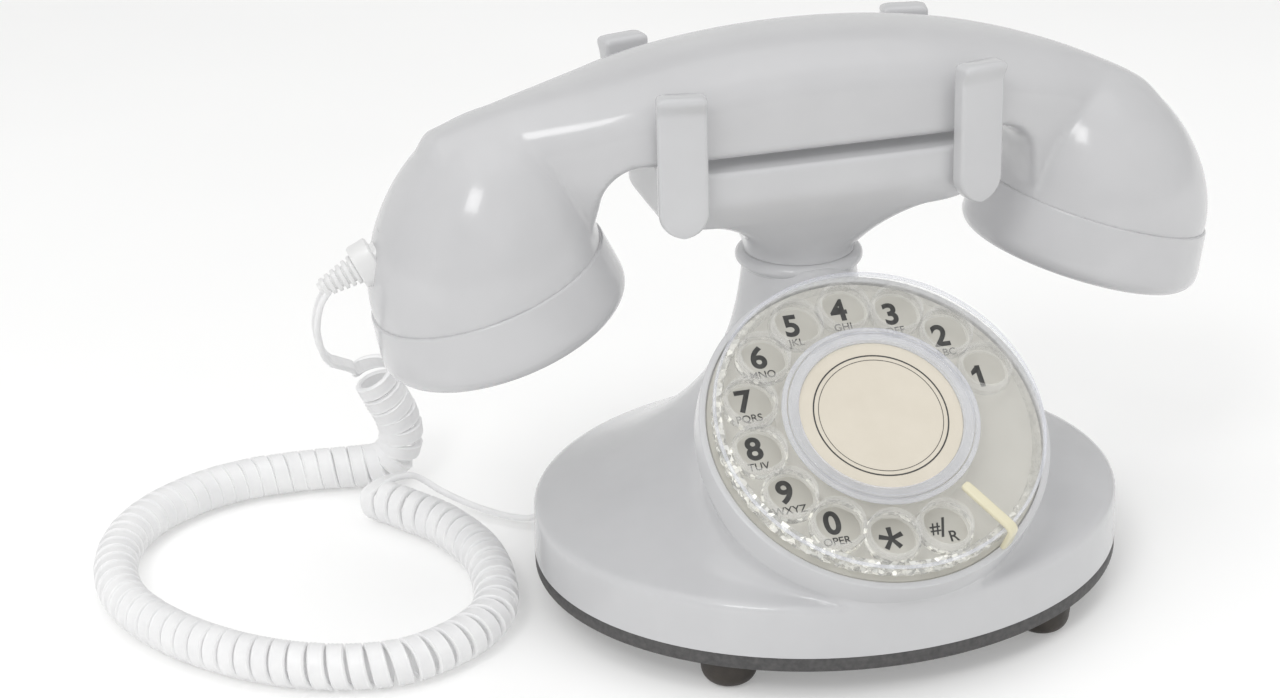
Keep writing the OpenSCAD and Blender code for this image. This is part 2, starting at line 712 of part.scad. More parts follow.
sound_hole_r = 1.3;
module cap(holes) difference() {
    rotate_extrude() polygon(concat([[0, -cap_h], [cup_r + 1.7 - 4.5, -cap_h]],
        [for (a = [0 : 15 : 75]) [cup_r - 2.8 + 4.5 * sin(a), -cap_h + 4.5 - 4.5 * cos(a)]],
        [[cup_r + 1.6, -cap_h + 6], [cup_r, -0.03], [0, -0.03]]));
    translate([0, 0, -cap_h + 2.6]) cylinder(r = cup_r - 2.9, h = cap_h);
    for (n = holes) for (i = [0 : n[1] - 1]) rotate([0, 0, i * 360 / n[1]])
        translate([n[0], 0, -cap_h - 5]) cylinder(r = sound_hole_r, h = 12);
}

module ear_cap() color(white) at_cup(-1) cap([[0, 1], [6, 6], [12, 12]]);
module mouth_cap() color(white) at_cup(1) cap([[0, 1], [6, 6], [12, 10]]);

module receiver_capsule() color(steel) at_cup(-1) {
    disc(20, -12, -7.5);
    disc(13, -7.5, -3);
}
module receiver_gasket() color("black") at_cup(-1) ring(24, 20.1, -13.5, -11);
module microphone_capsule() color(steel) at_cup(1) disc(7, -12, -6);
module microphone_foam() color("black") at_cup(1) ring(12, 7.1, -13.5, -8);

module handset_weight() color(steel) translate([-30, neck_y - 7, 119]) difference() {
    cube([60, 14, 8]);
    for (x = [8, 52]) translate([x, 7, -1]) cylinder(r = 1.6, h = 12);
}

/* ---- cord ---- */

module cord_plug() color("white") at_handset_jack() {
    translate([0.1, -4.2, -4.9]) cube([6.4, 8.4, 9.8]);
    translate([-6, -3.7, -3.1]) cube([6.2, 7.4, 6.2]);
}

module cord_boot() color("white") at_handset_jack() translate([6.5, 0, 0]) rotate([0, 90, 0])
    for (i = [0 : 4]) translate([0, 0, i * 1.7])
        cylinder(r1 = 3.7 - i * 0.25, r2 = 3.5 - i * 0.25, h = i < 4 ? 1.72 : 1.5);

module cord_lead() color("white") tube(lead_path, cord_d / 2, 8, [0, 1, 0]);
module cord_coil_drop() color("white") tube(drop_path, coil_d / 2 - 0.1, 12, [1, 0, 0]);
module cord_coil_loop() color("white") tube(loop_path, coil_d / 2 - 0.1, 12, [0, 0, 1]);
module cord_tail() color("white") tube(tail_path, tail_r, 8, [0, 0, 1]);

base_shell();
base_plate();
base_feet();
plate_screws();
ballast_weight();
neck_collar();
cradle();
cradle_screws();
hook_plunger();
hook_spring();
hook_switch();
main_board();
board_standoffs();
sounder();
sounder_ring();
cord_grommet();
cord_clamp();
line_jack();
ringer_switch_body();
ringer_switch_knob();
dial_bezel();
number_plate();
finger_stop();
dial_frame();
dial_screws();
dial_back_plate();
dial_pillars();
dial_shaft();
finger_wheel();
number_card();
card_retainer();
main_gear();
return_spring();
damper_pinion();
damper_cup();
pulse_cam();
pulse_contacts();
handset_shell();
ear_cap();
mouth_cap();
receiver_capsule();
receiver_gasket();
microphone_capsule();
microphone_foam();
handset_weight();
handset_jack();
cord_plug();
cord_boot();
cord_lead();
cord_coil_drop();
cord_coil_loop();
cord_tail();
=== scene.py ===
"""Looks for a small 1920s-style desk telephone. Sizes are in millimetres in the shape
functions and become metres when a mesh is made."""
import json
import math

import bmesh
import bpy
import numpy as np
from mathutils import Matrix, Vector


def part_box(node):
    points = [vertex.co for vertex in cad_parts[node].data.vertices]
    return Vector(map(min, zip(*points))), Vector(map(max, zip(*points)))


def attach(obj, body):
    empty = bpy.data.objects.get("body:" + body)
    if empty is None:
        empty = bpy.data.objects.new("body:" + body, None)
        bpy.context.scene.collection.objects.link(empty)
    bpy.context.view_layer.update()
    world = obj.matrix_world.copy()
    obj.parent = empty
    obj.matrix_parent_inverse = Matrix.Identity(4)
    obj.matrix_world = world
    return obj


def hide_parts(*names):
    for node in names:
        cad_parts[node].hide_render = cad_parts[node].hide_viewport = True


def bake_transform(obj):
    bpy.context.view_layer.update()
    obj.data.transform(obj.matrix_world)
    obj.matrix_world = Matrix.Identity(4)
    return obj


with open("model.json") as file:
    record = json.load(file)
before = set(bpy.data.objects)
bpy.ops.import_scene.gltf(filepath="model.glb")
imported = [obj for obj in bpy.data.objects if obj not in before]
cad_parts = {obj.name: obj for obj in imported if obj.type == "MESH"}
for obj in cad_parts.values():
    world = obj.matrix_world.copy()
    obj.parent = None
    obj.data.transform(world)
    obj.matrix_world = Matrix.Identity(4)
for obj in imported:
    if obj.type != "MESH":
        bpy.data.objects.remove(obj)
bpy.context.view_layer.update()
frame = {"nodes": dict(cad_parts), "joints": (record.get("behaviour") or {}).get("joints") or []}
MM = 0.001


def box_mm(node):
    low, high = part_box(node)
    return [x / MM for x in low], [x / MM for x in high]


# ---------------------------------------------------------------- places from the CAD
plate_lo, plate_hi = box_mm("base_plate")
shell_lo, shell_hi = box_mm("base_shell")
collar_lo, collar_hi = box_mm("neck_collar")
cradle_lo, cradle_hi = box_mm("cradle")
hand_lo, hand_hi = box_mm("handset_shell")
joint = {j["name"]: j for j in frame["joints"]}
dial_at = Vector(joint["dial_turn"]["pos_m"]) / MM
dial_n = -Vector(joint["dial_turn"]["axis"]).normalized()
dial_m = Matrix((Vector((1, 0, 0)), dial_n.cross(Vector((1, 0, 0))), dial_n)).transposed().to_4x4()
dial_m.translation = dial_at

base_a = (plate_hi[0] - plate_lo[0]) / 2
base_b = (plate_hi[1] - plate_lo[1]) / 2
base_y = (plate_hi[1] + plate_lo[1]) / 2
shell_z = plate_hi[2]
rim_h = 13
crease_z = shell_z + rim_h
neck_y = (collar_hi[1] + collar_lo[1]) / 2
neck_r = 14.5
neck_top = min(shell_hi[2], 78.5)


# ---------------------------------------------------------------- mesh helpers
def mesh_of(verts, faces, name):
    me = bpy.data.meshes.new(name)
    me.from_pydata([tuple(c * MM for c in v) for v in verts], [], faces)
    me.validate()
    return me


def shade(me, angle=32):
    bm = bmesh.new()
    bm.from_mesh(me)
    bmesh.ops.remove_doubles(bm, verts=bm.verts, dist=1e-7)
    bmesh.ops.recalc_face_normals(bm, faces=bm.faces)
    limit = math.radians(angle)
    for f in bm.faces:
        f.smooth = True
    for e in bm.edges:
        e.smooth = len(e.link_faces) == 2 and e.calc_face_angle(0) < limit
    bm.to_mesh(me)
    bm.free()


def piece(name, shape, mat, body, nodes=(), angle=32):
    """A mesh piece in its place, with its material, on its body. A shape is (verts, faces)."""
    obj = bpy.data.objects.new(name, mesh_of(*shape, name))
    bpy.context.scene.collection.objects.link(obj)
    shade(obj.data, angle)
    obj.data.materials.append(mat)
    if body:
        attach(obj, body)
    if nodes:
        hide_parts(*nodes)
    return obj


def loft(rings, caps=True, around=False):
    """Quads through rings of equal length. around joins the last ring to the first."""
    n, m = len(rings[0]), len(rings)
    verts = [p for r in rings for p in r]
    faces = []
    for j in range(m if around else m - 1):
        for i in range(n):
            k = (i + 1) % n
            j2 = (j + 1) % m
            faces.append((j * n + i, j * n + k, j2 * n + k, j2 * n + i))
    if caps and not around:
        faces.append(tuple(range(n))[::-1])
        faces.append(tuple((m - 1) * n + i for i in range(n)))
    return verts, faces


def revolve(profile, steps=96, m=None, closed=False):
    """A profile of (radius, height) turned round +Z, then placed by m."""
    verts, faces, rows = [], [], []
    for r, z in profile:
        if r < 1e-6:
            rows.append([len(verts)])
            verts.append(Vector((0, 0, z)))
        else:
            rows.append(list(range(len(verts), len(verts) + steps)))
            verts += [Vector((r * math.cos(2 * math.pi * i / steps),
                              r * math.sin(2 * math.pi * i / steps), z)) for i in range(steps)]
    pairs = list(zip(rows, rows[1:])) + ([(rows[-1], rows[0])] if closed else [])
    for a, b in pairs:
        for i in range(steps):
            k = (i + 1) % steps
            if len(a) == 1 and len(b) == 1:
                continue
            if len(a) == 1:
                faces.append((a[0], b[k], b[i]))
            elif len(b) == 1:
                faces.append((a[i], a[k], b[0]))
            else:
                faces.append((a[i], a[k], b[k], b[i]))
    if m is not None:
        verts = [m @ v for v in verts]
    return verts, faces


def join(parts):
    verts, faces = [], []
    for v, f in parts:
        n = len(verts)
        verts += list(v)
        faces += [tuple(i + n for i in face) for face in f]
    return verts, faces


def arc(cx, cz, r, a0, a1, n=6):
    return [(cx + r * math.cos(math.radians(a0 + (a1 - a0) * i / n)),
             cz + r * math.sin(math.radians(a0 + (a1 - a0) * i / n))) for i in range(n + 1)]


def cut(obj, solids, angle=32):
    """Takes solids, given as (verts, faces), out of obj."""
    tools = []
    for v, f in solids:
        t = bpy.data.objects.new("cutter", mesh_of(v, f, "cutter"))
        bpy.context.scene.collection.objects.link(t)
        shade(t.data)
        mod = obj.modifiers.new("cut", "BOOLEAN")
        mod.operation, mod.solver, mod.object = "DIFFERENCE", "EXACT", t
        tools.append(t)
    dg = bpy.context.evaluated_depsgraph_get()
    me = bpy.data.meshes.new_from_object(obj.evaluated_get(dg))
    mats = list(obj.data.materials)
    obj.modifiers.clear()
    obj.data = me
    if not me.materials:
        for mat in mats:
            me.materials.append(mat)
    for t in tools:
        bpy.data.objects.remove(t)
    shade(obj.data, angle)


def block(x0, y0, z0, x1, y1, z1):
    v = [(x, y, z) for z in (z0, z1) for y in (y0, y1) for x in (x0, x1)]
    return v, [(0, 2, 3, 1), (4, 5, 7, 6), (0, 1, 5, 4), (2, 6, 7, 3), (0, 4, 6, 2), (1, 3, 7, 5)]


def rod(m, r, z0, z1, steps=48):
    return revolve([(0, z0), (r, z0), (r, z1), (0, z1)], steps, m)


def curve_through(points, step):
    """Evenly spaced points on a smooth curve through the route's points."""
    p = np.array(points, float)
    ends = np.vstack([2 * p[0] - p[1], p, 2 * p[-1] - p[-2]])
    out = []
    for i in range(1, len(ends) - 2):
        a, b, c, d = ends[i - 1:i + 3]
        for t in np.linspace(0, 1, 24, endpoint=False):
            out.append(0.5 * (2 * b + (c - a) * t + (2 * a - 5 * b + 4 * c - d) * t * t
                              + (3 * b - a - 3 * c + d) * t ** 3))
    out.append(p[-1])
    return even(np.array(out), step)


def along_line(line):
    """The distance of each point from the line's start, measured along it."""
    return np.concatenate([[0], np.cumsum(np.linalg.norm(np.diff(line, axis=0), axis=1))])


def sampled(rows, along, at):
    return np.stack([np.interp(at, along, rows[:, k]) for k in range(3)], axis=1)


def even(line, step):
    along = along_line(line)
    n = max(2, int(round(along[-1] / step)) + 1)
    return sampled(line, along, np.linspace(0, along[-1], n))


def unit(v):
    return v / np.maximum(np.linalg.norm(v, axis=-1, keepdims=True), 1e-9)


def ease(t):
    t = np.clip(t, 0, 1)
    return t * t * (3 - 2 * t)


def distance(value):
    """Turns a shape function into roughly the distance to its surface."""
    def field(x, y, z, e=0.02):
        v = value(x, y, z)
        steps = value(x + e, y, z) - v, value(x, y + e, z) - v, value(x, y, z + e) - v
        return v * e / np.maximum((steps[0] ** 2 + steps[1] ** 2 + steps[2] ** 2) ** 0.5, 1e-7)
    return field


def blended(a, b, k):
    """Union of two distances with a fillet of size k."""
    h = np.clip(0.5 + 0.5 * (b - a) / k, 0, 1)
    return b * (1 - h) + a * h - k * h * (1 - h)


def skin(field, low, high, step):
    """Quads over the surface where the field is zero, with their corners drawn onto it."""
    axes = [np.arange(low[d] - 1.5 * step, high[d] + 2.5 * step, step) for d in range(3)]
    f = field(*np.meshgrid(*axes, indexing="ij"))
    n = tuple(k - 1 for k in f.shape)
    total, count = np.zeros(n + (3,)), np.zeros(n)

    def shifted(o):
        return f[tuple(slice(o[d], o[d] + n[d]) for d in range(3))]

    for d in range(3):
        u, v = [e for e in range(3) if e != d]
        for i in (0, 1):
            for j in (0, 1):
                o = [0, 0, 0]
                o[u], o[v] = i, j
                q = list(o)
                q[d] = 1
                a, b = shifted(o), shifted(q)
                hit = (a < 0) != (b < 0)
                total[..., u] += i * hit
                total[..., v] += j * hit
                total[..., d] += np.where(hit, a / np.where(hit, a - b, 1), 0)
                count += hit
    live = count > 0
    index = np.full(n, -1)
    index[live] = np.arange(live.sum())
    corner = np.stack(np.meshgrid(*[a[:-1] for a in axes], indexing="ij"), -1)[live]
    p = corner + total[live] / count[live][:, None] * step
    faces = []
    for d in range(3):
        u, v = (d + 1) % 3, (d + 2) % 3
        here, there = ([slice(1, n[e]) for e in range(3)] for _ in range(2))
        here[d], there[d] = slice(0, n[d]), slice(1, n[d] + 1)
        a, b = f[tuple(here)], f[tuple(there)]
        hit = (a < 0) != (b < 0)
        at = np.argwhere(hit)
        at[:, u] += 1
        at[:, v] += 1
        quad = []
        for du, dv in ((-1, -1), (0, -1), (0, 0), (-1, 0)):
            w = at.copy()
            w[:, u] += du
            w[:, v] += dv
            quad.append(index[w[:, 0], w[:, 1], w[:, 2]])
        quad = np.stack(quad, 1)
        flip = b[hit] < 0
        quad[flip] = quad[flip][:, ::-1]
        faces += [tuple(q) for q in quad.tolist()]
    return [tuple(q) for q in onto(field, p, 0.6 * step)], faces


def onto(field, p, most, e=0.02):
    """Moves points down the field's slope until they lie where it is zero."""
    for _ in range(4):
        g = np.stack([field(*(p + e * d).T) - field(*(p - e * d).T) for d in np.eye(3)], 1)
        g /= 2 * e
        move = g * (field(*p.T) / np.maximum((g ** 2).sum(1), 1e-6))[:, None]
        far = np.maximum(np.linalg.norm(move, axis=1, keepdims=True), 1e-9)
        p -= move * np.minimum(1, most / far)
    return p


def trim(obj, place, outward):
    """Cuts everything beyond a plane off a piece and closes it with a flat face."""
    bm = bmesh.new()
    bm.from_mesh(obj.data)
    got = bmesh.ops.bisect_plane(bm, geom=bm.verts[:] + bm.edges[:] + bm.faces[:], dist=1e-7,
                                 plane_co=Vector(place) * MM, plane_no=Vector(outward), clear_outer=True)
    bmesh.ops.edgeloop_fill(bm, edges=[w for w in got["geom_cut"] if isinstance(w, bmesh.types.BMEdge)])
    bm.to_mesh(obj.data)
    bm.free()


# ---------------------------------------------------------------- materials
def material(name):
    mat = bpy.data.materials.new(name)
    mat.use_nodes = True
    nt = mat.node_tree
    nt.nodes.clear()
    out = nt.nodes.new("ShaderNodeOutputMaterial")
    return mat, nt, out


def add(nt, kind, **sockets):
    node = nt.nodes.new(kind)
    for key, value in sockets.items():
        node.inputs[key.replace("_", " ")].default_value = value
    return node


def ramp(nt, source, stops):
    node = nt.nodes.new("ShaderNodeValToRGB")
    el = node.color_ramp.elements
    while len(el) > 1:
        el.remove(el[-1])
    el[0].position, el[0].color = stops[0][0], (*stops[0][1], 1)
    for at, col in stops[1:]:
        e = el.new(at)
        e.color = (*col, 1)
    nt.links.new(source, node.inputs["Fac"])
    return node


def spread(nt, source, low, high):
    node = nt.nodes.new("ShaderNodeMapRange")
    node.inputs["To Min"].default_value = low
    node.inputs["To Max"].default_value = high
    nt.links.new(source, node.inputs["Value"])
    return node


def see_through(nt, amount, bsdf, out):
    """Shows the surface by the amount, and what is behind it by the rest."""
    through = add(nt, "ShaderNodeBsdfTransparent")
    mix = nt.nodes.new("ShaderNodeMixShader")
    nt.links.new(amount, mix.inputs["Fac"])
    nt.links.new(through.outputs["BSDF"], mix.inputs[1])
    nt.links.new(bsdf.outputs["BSDF"], mix.inputs[2])
    nt.links.new(mix.outputs["Shader"], out.inputs["Surface"])


def moulded(name, dark, light, rough=(0.16, 0.24), grain=900.0, bump=0.06, coat=0.3,
            metal=0.0, patch=40.0, depth=0.00004, specular=0.5):
    """Moulded or machined surface: slow colour drift, fine grain in roughness and bump."""
    mat, nt, out = material(name)
    where = nt.nodes.new("ShaderNodeTexCoord").outputs["Object"]
    slow = add(nt, "ShaderNodeTexNoise", Scale=patch, Detail=3.0, Roughness=0.55)
    fine = add(nt, "ShaderNodeTexNoise", Scale=grain, Detail=4.0, Roughness=0.6)
    for n in (slow, fine):
        nt.links.new(where, n.inputs["Vector"])
    colour = ramp(nt, slow.outputs["Fac"], [(0.3, dark), (0.7, light)])
    bsdf = add(nt, "ShaderNodeBsdfPrincipled", Metallic=metal, IOR=1.5)
    bsdf.inputs["Coat Weight"].default_value = coat
    bsdf.inputs["Coat Roughness"].default_value = 0.06
    bsdf.inputs["Specular IOR Level"].default_value = specular
    nt.links.new(colour.outputs["Color"], bsdf.inputs["Base Color"])
    nt.links.new(spread(nt, fine.outputs["Fac"], *rough).outputs["Result"], bsdf.inputs["Roughness"])
    b = add(nt, "ShaderNodeBump", Strength=bump, Distance=depth)
    nt.links.new(fine.outputs["Fac"], b.inputs["Height"])
    nt.links.new(b.outputs["Normal"], bsdf.inputs["Normal"])
    nt.links.new(bsdf.outputs["BSDF"], out.inputs["Surface"])
    return mat


def clear_plastic(name, tint, solid, most, blend, grain=420.0, wave=0.35):
    """Clear plastic: thin where it faces the eye, bright at its edges, with moulding ripples."""
    mat, nt, out = material(name)
    where = nt.nodes.new("ShaderNodeTexCoord").outputs["Object"]
    ripple = add(nt, "ShaderNodeTexNoise", Scale=grain, Detail=2.0, Roughness=0.5)
    nt.links.new(where, ripple.inputs["Vector"])
    b = add(nt, "ShaderNodeBump", Strength=wave, Distance=0.0002)
    nt.links.new(ripple.outputs["Fac"], b.inputs["Height"])
    bsdf = add(nt, "ShaderNodeBsdfPrincipled", IOR=1.49)
    colour = ramp(nt, ripple.outputs["Fac"], [(0.35, tint), (0.65, tuple(min(1, c * 1.08) for c in tint))])
    nt.links.new(colour.outputs["Color"], bsdf.inputs["Base Color"])
    nt.links.new(spread(nt, ripple.outputs["Fac"], 0.03, 0.1).outputs["Result"], bsdf.inputs["Roughness"])
    nt.links.new(b.outputs["Normal"], bsdf.inputs["Normal"])
    edge = add(nt, "ShaderNodeLayerWeight", Blend=blend)
    see_through(nt, spread(nt, edge.outputs["Facing"], solid, most).outputs["Result"], bsdf, out)
    return mat


def painted_glints(name, scale, toward, span):
    """Painted glints and painted dark reflections on small facets in clear plastic: each cell gets its own
    painted brightness and amount, most on one side.
    """
    mat, nt, out = material(name)
    where = nt.nodes.new("ShaderNodeTexCoord").outputs["Object"]
    cells = add(nt, "ShaderNodeTexVoronoi", Scale=scale, Randomness=1.0)
    nt.links.new(where, cells.inputs["Vector"])
    pick = nt.nodes.new("ShaderNodeSeparateColor")
    nt.links.new(cells.outputs["Color"], pick.inputs["Color"])
    # painted glint colours, from a dark painted reflection to a warm painted highlight
    tone = ramp(nt, pick.outputs["Red"], [(0.0, (0.42, 0.42, 0.40)), (0.3, (0.66, 0.66, 0.63)),
                                          (0.6, (0.84, 0.83, 0.78)), (0.82, (1.0, 0.99, 0.92))])
    tone.color_ramp.interpolation = "CONSTANT"
    # the painted glints gather on the side that toward points to
    side = nt.nodes.new("ShaderNodeVectorMath")
    side.operation = "DOT_PRODUCT"
    side.inputs[1].default_value = toward
    nt.links.new(where, side.inputs[0])
    place = spread(nt, side.outputs["Value"], 0.12, 1.0)
    place.inputs["From Min"].default_value, place.inputs["From Max"].default_value = span
    amount = nt.nodes.new("ShaderNodeMath")
    amount.operation = "MULTIPLY"
    nt.links.new(place.outputs["Result"], amount.inputs[0])
    nt.links.new(spread(nt, pick.outputs["Green"], 0.0, 1.0).outputs["Result"], amount.inputs[1])
    bsdf = add(nt, "ShaderNodeBsdfPrincipled", IOR=1.49, Roughness=0.08)
    nt.links.new(tone.outputs["Color"], bsdf.inputs["Base Color"])
    b = add(nt, "ShaderNodeBump", Strength=0.8, Distance=0.0004)
    nt.links.new(cells.outputs["Distance"], b.inputs["Height"])
    nt.links.new(b.outputs["Normal"], bsdf.inputs["Normal"])
    see_through(nt, amount.outputs["Value"], bsdf, out)
    return mat


white = moulded("white_abs", (0.490, 0.491, 0.500), (0.520, 0.522, 0.530))
white_b = moulded("white_abs_handset", (0.480, 0.480, 0.488), (0.510, 0.510, 0.518), grain=700.0)
cord_mat = moulded("white_vinyl", (0.72, 0.72, 0.725), (0.78, 0.78, 0.78), rough=(0.3, 0.42),
                   grain=1500.0, bump=0.15, coat=0.0, patch=120.0)
plug_mat = moulded("white_nylon", (0.66, 0.66, 0.66), (0.72, 0.72, 0.715), rough=(0.28, 0.38),
                   grain=1300.0, bump=0.12, coat=0.0, patch=90.0)
dark_mat = moulded("dark_plate", (0.050, 0.049, 0.050), (0.085, 0.083, 0.082), rough=(0.45, 0.7),
                   grain=1600.0, bump=0.5, coat=0.0, patch=700.0)
rubber_mat = moulded("foot_rubber", (0.018, 0.014, 0.011), (0.035, 0.028, 0.022), rough=(0.35, 0.6),
                     grain=1400.0, bump=0.4, coat=0.0, patch=220.0)
black_mat = moulded("black_plastic", (0.012, 0.012, 0.013), (0.022, 0.022, 0.024), rough=(0.3, 0.45),
                    coat=0.0, bump=0.25)
plate_mat = moulded("number_plate", (0.45, 0.44, 0.40), (0.49, 0.48, 0.44), rough=(0.3, 0.42),
                    grain=1800.0, bump=0.1, coat=0.1, patch=55.0)
card_mat = moulded("cream_card", (0.585, 0.54, 0.455), (0.62, 0.575, 0.49), rough=(0.5, 0.62),
                   grain=2600.0, bump=0.2, coat=0.0, patch=90.0)
ink_mat = moulded("dark_ink", (0.035, 0.035, 0.035), (0.060, 0.060, 0.058), rough=(0.4, 0.55),
                  grain=2600.0, bump=0.1, coat=0.0, patch=900.0)
ivory_mat = moulded("ivory", (0.60, 0.56, 0.40), (0.66, 0.62, 0.46), rough=(0.18, 0.3), grain=800.0)
steel_mat = moulded("steel", (0.42, 0.43, 0.45), (0.55, 0.56, 0.58), rough=(0.25, 0.4), metal=1.0,
                    coat=0.0, grain=2200.0, bump=0.2, patch=160.0)
brass_mat = moulded("brass", (0.55, 0.40, 0.16), (0.68, 0.50, 0.24), rough=(0.22, 0.36), metal=1.0,
                    coat=0.0, grain=2000.0, bump=0.2, patch=140.0)
green_mat = moulded("board_green", (0.012, 0.09, 0.04), (0.02, 0.13, 0.06), rough=(0.3, 0.42),
                    patch=500.0)
clear_mat = clear_plastic("clear_wheel", (0.90, 0.90, 0.89), 0.015, 0.5, 0.12, wave=0.15)
tube_mat = clear_plastic("clear_tubes", (0.94, 0.93, 0.90), 0.03, 0.55, 0.3, 700.0, 0.5)
rim_mat = clear_plastic("clear_rims", (0.68, 0.695, 0.75), 0.22, 0.7, 0.3, 160.0, 0.01)
# the lower left of the dial, where the painted glints on the facets gather
glint_side = -(Vector(dial_m.col[0][:3]) * 0.75 + Vector(dial_m.col[1][:3]) * 0.66)
at_glint_side = glint_side.dot(dial_at) * MM
glint_facet_mat = painted_glints("painted_glints_on_facets", 800.0, glint_side, (at_glint_side - 0.012, at_glint_side + 0.022))

# ---------------------------------------------------------------- camera
def camera(place, pan, tilt, roll, lens):
    pan, tilt, roll = (math.radians(v) for v in (pan, tilt, roll))
    fwd = Vector((math.sin(pan) * math.cos(tilt), math.cos(pan) * math.cos(tilt), math.sin(tilt)))
    right = Vector((math.cos(pan), -math.sin(pan), 0))
    up = right.cross(fwd)
    r2 = right * math.cos(roll) + up * math.sin(roll)
    u2 = up * math.cos(roll) - right * math.sin(roll)
    data = bpy.data.cameras.new("camera")
    data.sensor_width = 36
    data.lens = lens
    data.clip_start = 0.01
    cam = bpy.data.objects.new("camera", data)
    m = Matrix((r2, u2, -fwd)).transposed().to_4x4()
    m.translation = Vector(place) * MM
    cam.matrix_world = m
    bpy.context.scene.collection.objects.link(cam)
    bpy.context.scene.camera = cam


camera(place=(-199.4, -567.9, 325.7), pan=14.895, tilt=-23.596, roll=-1.682, lens=74.72)

# ---------------------------------------------------------------- handset cord
drop = [(-101.4, 84.7, 36.2), (-99.9, 85, 32.5), (-97.6, 85.5, 27), (-95, 86, 21), (-94, 86, 15.5),
        (-95, 86, 10.8), (-97.5, 86.2, 7.8), (-101.5, 86.5, 6.3)]
loop = [(-111, 88, 6.1), (-123, 89.5, 6), (-137, 89, 6), (-150, 85, 6), (-163, 76, 6), (-172, 63, 6),
        (-176, 46, 6), (-174, 28, 6), (-165, 10, 6), (-151, -6, 6), (-134, -17, 6), (-116, -21, 6),
        (-101, -16, 6), (-90, -6, 6), (-85.5, 8, 6), (-85, 27, 6), (-90.5, 45, 6), (-98, 57, 6),
        (-105, 66.5, 6)]
cord_exit = (-58.4, 50.3, 15)
tail = [(-97.5, 69.8, 11.2), (-92.3, 70, 8.4), (-87.2, 67.2, 5), (-81, 61.7, 2.8), (-76, 56.5, 2.1),
        (-70.5, 51.2, 2), (-66, 48.8, 2.5), (-62.6, 49.2, 4.6), (-61.3, 50.9, 8.4), (-60.4, 51.7, 12.4),
        cord_exit, (-54, 45.9, 15)]
lead = [(-119, 23.5, 85.5), (-121.4, 24, 81.8), (-122.4, 26.5, 75.5), (-121.7, 31, 70), (-120, 38, 63),
        (-117, 48, 56), (-113.5, 58, 50.5), (-109.5, 69, 44.5), (-107.2, 77, 40.2), (-106.6, 81, 37.6)]
coil_r, drop_r = 5.0, 5.5
coil_step = 0.2
ribbon_w, ribbon_t = 4.1, 1.6


def coil():
    """The ribbon's winding round the coil's route, and the route's direction at each point."""
    axis = curve_through(drop + loop, coil_step)
    t = unit(np.gradient(axis, axis=0))
    u = np.zeros_like(axis)
    start = np.array((-0.91, 0.19, -0.36))  # towards the lead's lower end
    u[0] = unit(start - (start @ t[0]) * t[0])
    for i in range(1, len(axis)):
        u[i] = unit(u[i - 1] - (u[i - 1] @ t[i]) * t[i])
    v = np.cross(t, u)
    far = np.arange(len(axis)) * coil_step
    pitch = 4.3 + 2.6 * np.clip(1 - far / 9, 0, 1) + 0.8 * np.clip((far - 190) / 90, 0, 1)
    radius = coil_r + (drop_r - coil_r) * np.clip(1 - (far - 25) / 25, 0, 1)
    turn = np.cumsum(2 * math.pi * coil_step / pitch)
    turn -= turn[0]
    # the last turn ends on top of the coil, where the tail leaves it
    top = math.atan2(v[-1][2], u[-1][2])
    turn *= (2 * math.pi * round((turn[-1] - top) / (2 * math.pi)) + top) / turn[-1]
    ring = axis + radius[:, None] * (np.cos(turn)[:, None] * u + np.sin(turn)[:, None] * v)
    return ring[::2], t[::2]


def cord_line():
    """Points down the whole ribbon, with the way its width points at each."""
    ring, along_axis = coil()
    a, b = curve_through(lead, 1.5), curve_through(tail, 1.5)
    line = np.vstack([a, ring, b])
    width = np.vstack([np.tile((0.0, -1.0, 0.0), (len(a), 1)), along_axis,
                       np.tile((0.2, 0.88, -0.42), (len(b), 1))])
    along = along_line(line)
    join_a, join_b = (along[len(a) - 1] + along[len(a)]) / 2, (along[-len(b) - 1] + along[-len(b)]) / 2
    at = np.linspace(0, along[-1], int(along[-1] / 1.25))
    p, w = sampled(line, along, at), sampled(width, along, at)
    for centre, reach, target, rounds in ((join_a, 7, p, 40), (join_b, 7, p, 40), (join_a - 22, 34, w, 60),
                                          (join_b + 10, 16, w, 60)):
        near = np.nonzero(np.abs(at - centre) < reach)[0]
        near = near[(near > 0) & (near < len(at) - 1)]
        for _ in range(rounds):
            target[near] = 0.25 * target[near - 1] + 0.5 * target[near] + 0.25 * target[near + 1]
    # rounding the joins moves their points together, so the line is spaced evenly again
    along = along_line(p)
    at = np.linspace(0, along[-1], len(at))
    return sampled(p, along, at), sampled(w, along, at)


def ribbon_mesh(p, w):
    t = unit(np.gradient(p, axis=0))
    n = unit(np.cross(t, w))
    w = np.cross(n, t)
    k, h = ribbon_w / 2, ribbon_t / 2
    side = [(1.0, 0.0), (0.965, 0.62), (0.80, 1.0), (0.56, 0.74), (0.30, 1.0), (0.0, 0.74), (-0.30, 1.0),
            (-0.56, 0.74), (-0.80, 1.0), (-0.965, 0.62), (-1.0, 0.0)]
    shape = side + [(x, -y) for x, y in side[-2:0:-1]]
    rings = [[tuple(p[i] + k * x * w[i] + h * y * n[i]) for x, y in shape] for i in range(len(p))]
    return loft(rings)


cord_p, cord_w = cord_line()
cord = piece("handset_cord", ribbon_mesh(cord_p, cord_w), cord_mat, None, angle=50)
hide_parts("cord_lead", "cord_coil_drop", "cord_coil_loop", "cord_tail")
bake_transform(cord)


# ---------------------------------------------------------------- plug and boot
def jack_matrix():
    """The handset's socket: local +X leaves it, down and to the left."""
    m = Matrix.Rotation(math.radians(180), 4, "Z") @ Matrix.Rotation(math.radians(25), 4, "Y")
    m.translation = Vector((-107.2, neck_y, 91.8))
    return m


